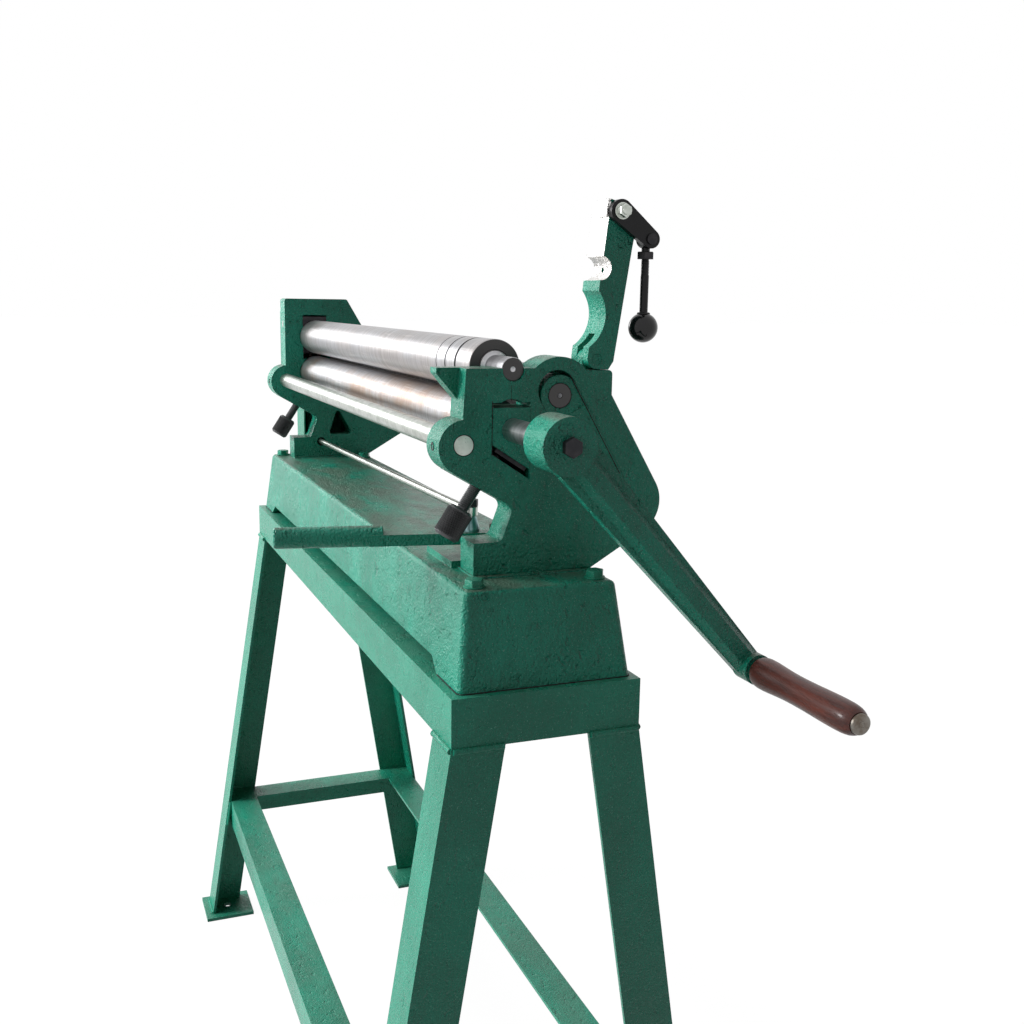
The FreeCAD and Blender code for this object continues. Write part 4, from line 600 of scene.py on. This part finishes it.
def weld_bead(name, path, radius, body="frame", finish=green_iron, step=3.2):
    """A run of weld: rings along the path, every other one a little fuller."""
    shape = bmesh.new()
    points = [Vector(p) for p in path]
    rings = []
    count = 0
    for first, last in zip(points, points[1:]):
        steps = max(2, int((last - first).length / step))
        ahead = (last - first).normalized()
        for i in range(steps + (last == points[-1])):
            centre = first.lerp(last, i / steps)
            swell = radius * (0.86 + 0.14 * (count % 2) + 0.07 * math.sin(count * 2.7))
            across = ahead.orthogonal().normalized()
            made = bmesh.ops.create_circle(shape, segments=8, radius=swell)["verts"]
            turn = axes(across, ahead.cross(across), ahead)
            bmesh.ops.transform(shape, matrix=Matrix.Translation(centre) @ turn, verts=made)
            rings.append(made)
            count += 1
    for low, high in zip(rings, rings[1:]):
        loops = [e for e in shape.edges if all(v in low or v in high for v in e.verts)]
        bmesh.ops.bridge_loops(shape, edges=[e for e in loops if len(e.link_faces) < 2])
    for ring in (rings[0], rings[-1]):
        mouth = [e for e in shape.edges if e.verts[0] in ring and e.verts[1] in ring]
        bmesh.ops.contextual_create(shape, geom=mouth)
    bmesh.ops.scale(shape, vec=(MM, MM, MM), verts=shape.verts)
    bmesh.ops.translate(shape, verts=shape.verts, vec=ROLL_AXIS * MM)
    piece(name, [shape], finish, body, smooth=70)


# ------------------------------------------------------------ adjusting screws
KNOB_START = 100.5
KNOB_LENGTH = 36.0
KNOB_RADIUS = 15.3
KNOB_CHAMFER = 2.4
SHOE_FACE = 30.3
FRONT_SCREW_SHIFT = 5.5


def front_screw(side, x):
    """Threaded shank with a chamfered, diamond-knurled knob."""
    place = (x, FRONT_SCREW_SHIFT * FRONT_RISE, -FRONT_SCREW_SHIFT * FRONT_RUN)
    pin_foot = SHOE_FACE - 2.9
    pin_top = SHOE_FACE + 0.2
    pin = turned(((0, pin_foot), (3.5, pin_foot), (3.5, pin_top), (0, pin_top)), 24)
    rods = threaded_rod(7.0, 0.7, 2.0, KNOB_START - SHOE_FACE + 1)
    shank = [lift(shape, SHOE_FACE + 0.1) for shape in rods]
    end = KNOB_START + KNOB_LENGTH
    core = KNOB_RADIUS - 1.02
    knob = turned(
        (
            (0, KNOB_START),
            (core - KNOB_CHAMFER, KNOB_START),
            (core, KNOB_START + KNOB_CHAMFER),
            (core, end - KNOB_CHAMFER),
            (core - KNOB_CHAMFER, end),
            (4.0, end),
            (3.0, end - 1.0),
            (0, end - 1.0),
        ),
        64,
    )
    knurl = knurled_sleeve(KNOB_RADIUS - 0.98, KNOB_LENGTH - 5.2, 36, 12, 0.95)
    lift(knurl, KNOB_START + 2.6)
    shapes = [put(shape, place, -FRONT_SCREW) for shape in [pin, knob, knurl] + shank]
    piece(
        f"front_adjuster_knob_{side}",
        shapes,
        knurled_black,
        f"front_adjuster_{side}",
        replaced=(f"front_screw_{side}",),
        smooth=25,
    )


def rear_screw(side, x):
    """Long threaded screw of the bending roll, with a hexagon socket in its foot."""
    place = (x, REAR_ROLL_Y, REAR_ROLL_Z)
    foot = 191.5
    pin = turned(((0, 32.1), (5.0, 32.1), (5.0, 40.2), (0, 40.2)), 24)
    shank = lift(thread(8.0, 0.8, 2.0, foot - 42.0), 40.1)
    core = turned(((0, 40.1), (6.6, 40.1), (7.3, 40.9), (7.3, foot - 2.5), (6.4, foot), (5.6, foot)), 32)
    socket = lift(hexagon_socket(9.2 / math.sqrt(3), 5.65, 30, 7.0), foot)
    shapes = [put(shape, place, -REAR_SCREW) for shape in (pin, shank, core, socket)]
    piece(
        f"bending_screw_{side}",
        shapes,
        knurled_black,
        f"rear_adjuster_{side}",
        replaced=(f"rear_screw_{side}",),
        smooth=25,
    )


for side, x in HOUSINGS:
    front_screw(side, x)
    rear_screw(side, x)


# ------------------------------------------------------------ bolts, nuts and studs
def stem(radius, low, high):
    """A plain shank with a turned-off foot."""
    return turned(((0, low), (radius - 0.8, low), (radius, low + 0.8), (radius, high), (0, high)), 28)


BASE_TOP = -160
STUD_THREAD = (5.0, 0.5, 1.5, 12.6)


def base_bolts():
    """The four bolts that hold the base on its rails."""
    shapes = []
    for x, y in ((-543, -57), (543, -57), (-470, 83), (543, 83)):
        parts = [stem(6.0, -109, 2), washer(6.1, 11.5, 2.0), lift(hexagon_head(18.0, 7.5), 2.0)]
        shapes += [put(shape, (x, y, BASE_TOP)) for shape in parts]
    piece(
        "base_fixing_bolts", shapes, green_iron, "frame", replaced=("base_bolts",), smooth=30
    )


def crank_fixing():
    """The bolt that holds the crank on the lower roll's end."""
    place = (655.0, 0, 0)
    parts = [stem(6.0, -28, 0), hexagon_head(18.0, 7.5)]
    shapes = [put(shape, place, ALONG_ROLLS) for shape in parts]
    piece(
        "crank_fixing_bolt",
        shapes,
        black_oxide,
        "lower_drive",
        replaced=("crank_bolt",),
        smooth=30,
    )


def clamp_pivot_nut():
    """Nut and washer on the clamp's stud."""
    place = (512.75, 118.04, 233.05)
    parts = [washer(5.15, 9.0, 1.9), lift(hexagon_head(13.0, 7.9), 1.95)]
    shapes = [put(shape, place, ALONG_ROLLS) for shape in parts]
    piece("clamp_pivot_nut", shapes, zinc, "arm", replaced=("clamp_nut",), smooth=30)


def lever_pivot():
    """The bolt that the hand lever swings on, with its collar and its nut."""
    place = (LEVER_PIVOT_X, LEVER_PIVOT_Y, 0)
    parts = [
        lift(hexagon_head(17.0, 8.0), -178),
        stem(5.0, -170.2, -124.6),
        turned(((5.0, -152), (8.4, -152), (9.0, -151.4), (9.0, -138.2), (8.4, -137.6), (5.0, -137.6)), 32),
        lift(hexagon_head(17.0, 8.0), -124.4),
    ] + [lift(shape, -126) for shape in threaded_rod(*STUD_THREAD)]
    shapes = [put(shape, place) for shape in parts]
    piece("lever_pivot_bolt", shapes, dull_steel, "frame", replaced=("pivot_bolt",), smooth=30)


def link_pivot():
    """The stud that joins the hand lever to the link rod."""
    place = (424.0, -20.0, 0)
    parts = [
        lift(hexagon_head(17.0, 6.0), -143.5),
        stem(5.0, -137.7, -95.6),
        lift(hexagon_head(17.0, 8.0), -95.4),
    ] + [lift(shape, -97) for shape in threaded_rod(*STUD_THREAD)]
    shapes = [put(shape, place) for shape in parts]
    piece(
        "link_pivot_stud", shapes, black_oxide, "lever", replaced=("link_stud",), smooth=30
    )


def ear_screw(side, x):
    """Set screw that holds the tie bar, sunk in the front of its ear."""
    rim = lift(hexagon_socket(2.9, 4.6, 24, 3.0), 0.5)
    skirt = turned(((4.6, -1.5), (4.6, 0.5)), 24)
    shapes = [put(shape, (x, -83.9, -17.5), (0, -1, 0)) for shape in (rim, skirt)]
    piece(f"ear_set_screw_{side}", shapes, black_oxide, "frame", smooth=30)


def cover_fixings():
    """Round-headed screws of the gear cover, each with a hexagon key's hollow."""
    shapes = []
    for y, z in ((-30, 122), (30, 122), (80, -84)):
        head = turned(((2.0, 1.4), (2.0, 2.9), (4.2, 2.6), (5.3, 1.4), (5.5, 0), (0, 0)), 32)
        shank = turned(((0, -12), (2.4, -12), (3.0, -11.2), (3.0, 0), (0, 0)), 20)
        floor = turned(((0, 1.4), (2.0, 1.4)), 32)
        shapes += [put(shape, (-544.0, y, z), (-1, 0, 0)) for shape in (head, shank, floor)]
    piece("cover_fixing_screws", shapes, zinc, "frame", replaced=("cover_screws",), smooth=30)


base_bolts()
crank_fixing()
clamp_pivot_nut()
lever_pivot()
link_pivot()
cover_fixings()
for side, x in HOUSINGS:
    ear_screw(side, x)


# ------------------------------------------------------------ clamp handle
def ball_profile(radius, flat):
    """A ball's outline from its foot to the flat under the rod."""
    top = math.asin(flat / radius)
    steps = 26
    angles = [math.pi - (math.pi - top) * i / steps for i in range(steps + 1)]
    outline = [(radius * math.sin(a), radius * math.cos(a)) for a in angles]
    return outline + [(0, radius * math.cos(top))]


def clamp_handle():
    """The clamp's handle: a ball under a rod that is threaded below its lock nut."""
    place = (499.5, 154.64, 0)
    rod_radius = 4.6
    ball = lift(turned(ball_profile(16.4, 7.5), 56), 109.57)
    piece(
        "handle_ball",
        [put(ball, place)],
        black_ball,
        "clamp_lever",
        replaced=("ball_knob",),
        smooth=40,
    )
    rod = turned(
        ((0, 118.2), (rod_radius, 118.2), (rod_radius, 166), (4.0, 167), (4.0, 184.2), (0, 184.2)), 32
    )
    screwed = lift(thread(rod_radius, 0.65, 1.6, 19.0), 165.6)
    foot = turned(
        ((rod_radius, 124.3), (7.3, 124.3), (7.3, 125.4), (6.3, 126.4), (rod_radius, 126.4)),
        32,
        closed=True,
    )
    top = turned(((0, 184.0), (rod_radius, 184.0), (rod_radius, 198.6), (0, 198.6)), 28)
    shapes = [put(shape, place) for shape in (rod, screwed, foot, top)]
    piece(
        "handle_rod", shapes, black_paint, "clamp_lever", replaced=("clamp_rod",), smooth=30
    )
    nut = put(lift(hexagon_head(17.0, 8.0), 183.87), place)
    piece(
        "handle_lock_nut",
        [nut],
        black_oxide,
        "clamp_lever",
        replaced=("clamp_jam_nut",),
        smooth=30,
    )


clamp_handle()


# ------------------------------------------------------------ crank grip
GRIP_PLACE = (664.1, 222.09, -244.08)
GRIP_LENGTH = 162.0
# how far along the grip, and its radius there
GRIP_TURNING = (
    (0.00, 14.4), (0.008, 15.4), (0.02, 16.2), (0.04, 16.8), (0.06, 17.0), (0.09, 17.0), (0.12, 16.9),
    (0.16, 16.5), (0.20, 16.1), (0.25, 15.6), (0.30, 15.2), (0.36, 14.9), (0.42, 14.8), (0.48, 14.85),
    (0.55, 15.0), (0.62, 15.3), (0.70, 15.6), (0.76, 15.8), (0.82, 15.9), (0.86, 15.8), (0.90, 15.6),
    (0.925, 15.2), (0.95, 14.6), (0.965, 13.9), (0.98, 13.0), (0.992, 11.9), (1.00, 11.2),
)


def crank_grip():
    """Turned hardwood on a steel spindle, with a rounded cap and a collar against the eye."""
    turning = [(radius, GRIP_LENGTH * run) for run, radius in GRIP_TURNING]
    wood = turned([(6.1, 0)] + turning + [(6.1, GRIP_LENGTH)], 56, closed=True)
    piece(
        "turned_grip",
        [put(wood, GRIP_PLACE, ALONG_ROLLS)],
        dark_wood,
        "grip",
        replaced=("wood_grip",),
        smooth=50,
    )
    collar_start = -4.05
    spindle = turned(
        (
            (0, -26),
            (6.0, -26),
            (6.0, collar_start),
            (9.0, collar_start),
            (9.5, collar_start + 0.6),
            (9.5, -0.7),
            (9.0, -0.1),
            (6.0, -0.1),
            (6.0, GRIP_LENGTH + 0.1),
            (10.0, GRIP_LENGTH + 0.1),
            (10.5, GRIP_LENGTH + 0.7),
            (10.5, GRIP_LENGTH + 2.6),
            (10.1, GRIP_LENGTH + 3.6),
            (9.2, GRIP_LENGTH + 4.4),
            (7.8, GRIP_LENGTH + 4.8),
            (4.2, GRIP_LENGTH + 4.9),
            (3.6, GRIP_LENGTH + 4.4),
            (2.6, GRIP_LENGTH + 4.4),
            (2.0, GRIP_LENGTH + 5.0),
            (0, GRIP_LENGTH + 5.1),
        ),
        48,
    )
    piece(
        "grip_spindle_turned",
        [put(spindle, GRIP_PLACE, ALONG_ROLLS)],
        dull_steel,
        "lower_drive",
        replaced=("grip_spindle",),
    )


crank_grip()


# ------------------------------------------------------------ welds
STAND_MIDDLE = 11.0
RAIL_FOOT = -319.0
RAIL_REACH = 108.0
STAND_END = 590.2
RAIL_WELD_Z = -320.5
FOOT_WELD_Z = -1073
BRACE_TOP = -843.0
BRACE_FOOT = -889.0
LEG_SLOPE = 0.158


def leg_reach(z):
    """How far a leg's outer face stands from the middle of the stand at a height."""
    return RAIL_REACH + LEG_SLOPE * (RAIL_FOOT - z)


def stand_welds():
    """Beads at each leg: along its rails, up its brace and round its foot plate."""
    for end, x_side in (("right", 1), ("left", -1)):
        for row, y_side in (("front", -1), ("back", 1)):

            def spot(x, reach, z):
                return (x_side * x, STAND_MIDDLE + y_side * reach, z)

            name = f"{row}_{end}"
            weld_bead(
                f"weld_rail_end_{name}",
                (spot(STAND_END, 106, RAIL_WELD_Z), spot(STAND_END, 50, RAIL_WELD_Z)),
                3.9,
            )
            weld_bead(
                f"weld_rail_side_{name}",
                (spot(588, RAIL_REACH + 0.2, RAIL_WELD_Z), spot(532, RAIL_REACH + 0.2, RAIL_WELD_Z)),
                3.9,
            )
            weld_bead(
                f"weld_brace_{name}",
                (
                    spot(529.2, leg_reach(BRACE_TOP) - 4.0, BRACE_TOP),
                    spot(529.2, leg_reach(BRACE_FOOT) - 4.0, BRACE_FOOT),
                ),
                2.8,
            )
            foot = leg_reach(FOOT_WELD_Z - 1)
            weld_bead(
                f"weld_foot_{name}",
                (
                    spot(532, foot + 0.2, FOOT_WELD_Z),
                    spot(STAND_END, foot + 0.2, FOOT_WELD_Z),
                    spot(STAND_END, foot - 58, FOOT_WELD_Z),
                ),
                2.8,
            )


def lever_weld():
    """Bead round the end of the hand lever's round grip, where it meets the flat bar."""
    turn = math.radians(-100.4)
    ahead = Vector((math.cos(turn), math.sin(turn), 0))
    side = Vector((-ahead.y, ahead.x, 0))
    centre = Vector((LEVER_PIVOT_X, LEVER_PIVOT_Y, -128.0)) + ahead * 133.6
    ring = 10.9
    turns = [math.tau * i / 12 for i in range(13)]
    path = [centre + side * ring * math.cos(a) + UP * ring * math.sin(a) for a in turns]
    weld_bead("weld_hand_lever", path, 1.9, "lever", green_casting, step=2.4)


stand_welds()
lever_weld()


# ------------------------------------------------------------ seams and rims of painted shade
def seam(name, path, body="frame", width=0.55):
    """A fine dark line of painted shade, where two close faces meet."""
    weld_bead(name, path, width, body, painted_seam_shade, step=6.0)


def ring_path(x, y, z, radius, steps=36):
    """A circle across the rolls, closed on its first point."""
    turns = [math.tau * i / steps for i in range(steps + 1)]
    return [(x, y + radius * math.cos(a), z + radius * math.sin(a)) for a in turns]


def upper_roll_turning():
    """The upper roll on the lathe: shouldered journals and three wire grooves, each one wider."""
    barrel = 30.0
    journal = 12.8
    root = 17.0
    profile = [(0, -587.0), (journal - 0.8, -587.0), (journal, -586.2), (journal, -499.0), (root, -495.6)]
    profile += [(barrel - 1.0, -495.5), (barrel, -494.5)]
    for middle, half in ((325.0, 1.5), (359.0, 2.1), (395.0, 2.9)):
        for i in range(7):
            turn = math.pi * i / 6
            profile.append((barrel - half * 0.9 * math.sin(turn), middle - half * math.cos(turn)))
    profile += [(barrel, 444.2), (barrel - 0.8, 445.0), (root + 1.6, 445.0), (root, 444.0), (root, 445.6)]
    profile += [(journal, 449.0), (journal, 499.7), (journal - 0.8, 500.5), (3.2, 500.5), (0, 498.0)]
    roll = put(turned(profile, 72), (0, 0, UPPER_ROLL_Z), ALONG_ROLLS)
    piece(
        "upper_roll_turned",
        [roll],
        upper_steel,
        "upper_drive",
        replaced=("upper_roll",),
        smooth=30,
    )


def rear_slot_cover():
    """Thin painted plate that the rear block carries over the slot that it slides in."""
    cover = plate((44.6, 98.0, 0.7), 5.0, 4, upright_only=True)
    lean = Matrix.Rotation(math.radians(30.5), 4, "Z")
    bmesh.ops.transform(cover, matrix=lean, verts=cover.verts)
    down_slot = 73.0
    place = (504.4, REAR_ROLL_Y + REAR_RUN * down_slot, REAR_ROLL_Z - REAR_RISE * down_slot)
    shapes = [put(cover, place, ALONG_ROLLS)]
    piece("rear_slot_cover", shapes, green_casting, "rear_carriage", smooth=30)


def housing_seams():
    """Dark lines of painted shade at the right housing's window, slot and journals, and at the tie bar's
    ends.
    """
    face = RIGHT_FACE - 0.2
    seam("window_seam", ((face, -24.2, 31.5), (face, -24.2, -26.5)))
    seam("rear_slot_seam", ((face + 0.8, 65.0, 58.4), (face + 0.8, 131.8, -56.8)), width=0.6)
    seam("casting_seam", ((face, -2.6, 48.0), (face, -2.4, 31.8)), width=0.35)
    for x, side in ((RIGHT_FACE - 0.25, "right"), (LEFT_FACE, "left")):
        seam(f"tie_bar_rim_{side}", ring_path(x, -56, -15, 11.3), width=0.6)
    seam("rear_journal_rim", ring_path(face, REAR_ROLL_Y, REAR_ROLL_Z, 13.4), "rear_carriage")


def shade_strip():
    """Thin dark strip of painted shade screwed to the inside of the right housing, closing the foot of its
    window.
    """
    shapes = [plate((56.0, 16.0, 1.4), 0.4, 1)]
    for along in (-24.0, 24.0):
        head = lift(hexagon_head(4.6, 2.0, 0.4), 0.7)
        bmesh.ops.translate(head, verts=head.verts, vec=(along, -4.6, 0))
        shapes.append(head)
    lean = Matrix.Rotation(math.atan2(FRONT_RISE, -FRONT_RUN) + math.pi / 2, 4, "Z")
    for shape in shapes:
        bmesh.ops.transform(shape, matrix=lean, verts=shape.verts)
    placed = [put(shape, (460.2, 1.8, -37.6), (-1, 0, 0)) for shape in shapes]
    piece("window_dust_strip", placed, painted_seam_shade, "frame", smooth=30)


def end_plug():
    """Painted plug that fills the small hole high in the base's end."""
    plug = turned(((4.0, -6), (4.0, -0.9), (3.4, -0.5), (1.8, -0.3), (0, -0.25)), 28)
    lip = turned(((4.0, -0.6), (4.4, 0.15), (5.0, 0.3), (5.6, 0.1), (5.8, -0.4)), 28)
    place = (563.1, -52, -166)
    shapes = [put(shape, place, (1, 0, 0.173)) for shape in (plug, lip)]
    piece("base_end_plug", shapes, green_casting, "frame", smooth=40)


def base_foot_shade():
    """Dark line of painted shade along the foot of the base casting."""
    half_x = 580.2
    front = -86.2
    back = 112.2
    corner = 7.0
    start = 508
    level = -263.7
    for side, name in ((1, "right"), (-1, "left")):
        path = [(side * start, front, level)]
        for y, turn in ((front, -1), (back, 1)):
            centre = (half_x - corner, y - turn * corner)
            angles = [math.pi / 2 * i / 4 for i in range(5)]
            if turn == 1:
                angles = angles[::-1]
            for a in reversed(angles):
                x = centre[0] + corner * math.cos(a)
                path.append((side * x, centre[1] + turn * corner * math.sin(a), level))
        path.append((side * start, back, level))
        seam(f"base_foot_shade_{name}", path, width=0.9)


upper_roll_turning()
rear_slot_cover()
housing_seams()
shade_strip()
end_plug()
base_foot_shade()


# ------------------------------------------------------------ floor, light and camera
def stage_floor():
    """White floor that glows to the camera and in reflections, and is plain to all other light."""
    shape = bmesh.new()
    bmesh.ops.create_grid(shape, x_segments=1, y_segments=1, size=60)
    mesh = bpy.data.meshes.new("studio_floor")
    shape.to_mesh(mesh)
    shape.free()
    floor = bpy.data.objects.new("studio_floor", mesh)
    bpy.context.scene.collection.objects.link(floor)
    white = Finish("studio_white", Roughness=0.9)
    seen = white.add("ShaderNodeLightPath")
    white.coat("Base Color", white.blend(seen["Is Camera Ray"], (0.3, 0.3, 0.3, 1), (0.8, 0.8, 0.8, 1)))
    glow = white.add("ShaderNodeEmission", None, {"Color": (1, 1, 1, 1), "Strength": 1.06})
    plain = Shade(white, white.shader, white.shader.outputs[0])
    direct = seen["Is Camera Ray"].calc("MAXIMUM", seen["Is Camera Ray"], seen["Is Glossy Ray"])
    shown = direct.calc("MAXIMUM", direct, seen["Is Transmission Ray"])
    mixed = white.add("ShaderNodeMixShader", None, {0: shown * 0.90, 1: plain, 2: glow})
    white.set(white.tree.nodes["Material Output"].inputs["Surface"], mixed)
    mesh.materials.append(white.material)


def studio_world():
    """White behind the machine and in its metal; a soft wall of light at the operator's left."""
    world = bpy.data.worlds.new("studio")
    bpy.context.scene.world = world
    world.use_nodes = True
    tree = world.node_tree
    back = tree.nodes["Background"]
    ray = tree.nodes.new("ShaderNodeLightPath")
    place = tree.nodes.new("ShaderNodeTexCoord")
    lit = tree.nodes.new("ShaderNodeVectorMath")
    lit.operation = "DOT_PRODUCT"
    lit.inputs[1].default_value = Vector((-0.66, -0.72, 0.18)).normalized()
    tree.links.new(place.outputs["Generated"], lit.inputs[0])
    shade = tree.nodes.new("ShaderNodeMapRange")
    shade.interpolation_type = "SMOOTHSTEP"
    for name, value in (("From Min", 0.0), ("From Max", 0.9), ("To Min", 0.02), ("To Max", 2.0)):
        shade.inputs[name].default_value = value
    tree.links.new(lit.outputs["Value"], shade.inputs["Value"])
    level = tree.nodes.new("ShaderNodeMix")
    shown = ray.outputs["Is Camera Ray"]
    for kind in ("Is Glossy Ray", "Is Transmission Ray"):
        either = tree.nodes.new("ShaderNodeMath")
        either.operation = "MAXIMUM"
        tree.links.new(shown, either.inputs[0])
        tree.links.new(ray.outputs[kind], either.inputs[1])
        shown = either.outputs[0]
    tree.links.new(shown, level.inputs["Factor"])
    tree.links.new(shade.outputs[0], level.inputs["A"])
    level.inputs["B"].default_value = 1.0
    tree.links.new(level.outputs["Result"], back.inputs["Strength"])
    back.inputs["Color"].default_value = (1, 1, 1, 1)


def lamp(name, place, target, size, power):
    """A soft rectangular lamp, turned to its target."""
    light = bpy.data.lights.new(name, "AREA")
    light.shape = "RECTANGLE"
    light.size, light.size_y = size
    light.energy = power
    item = bpy.data.objects.new(name, light)
    item.location = place
    item.rotation_euler = (Vector(target) - Vector(place)).to_track_quat("-Z", "Y").to_euler()
    bpy.context.scene.collection.objects.link(item)


def aim_camera():
    """Stands at the crank end, in front and above, and looks back along the rolls."""
    yaw = 0.37745
    pitch = 0.18111
    roll = -0.01577
    flat = math.cos(pitch)
    ahead = Vector((-math.cos(yaw) * flat, math.sin(yaw) * flat, -math.sin(pitch)))
    level = ahead.cross(UP).normalized()
    down = ahead.cross(level)
    right = math.cos(roll) * level + math.sin(roll) * down
    low = math.cos(roll) * down - math.sin(roll) * level
    lens = bpy.data.cameras.new("camera")
    lens.sensor_width = 36.0
    lens.lens = 40.67
    camera = bpy.data.objects.new("camera", lens)
    stand = Matrix.Translation((1.6556, -0.4675, 1.2174))
    camera.matrix_world = stand @ axes(right, -low, -ahead)
    bpy.context.scene.collection.objects.link(camera)
    bpy.context.scene.camera = camera


stage_floor()
studio_world()
lamp("key_left", (-1.2, -3.2, 2.0), target=(0.0, 0.0, 0.9), size=(0.8, 0.7), power=96)
lamp("end_left", (-3.6, -1.3, 1.9), target=(0.0, 0.0, 1.1), size=(1.2, 1.2), power=24)
aim_camera()
bpy.context.scene.view_settings.view_transform = "Standard"
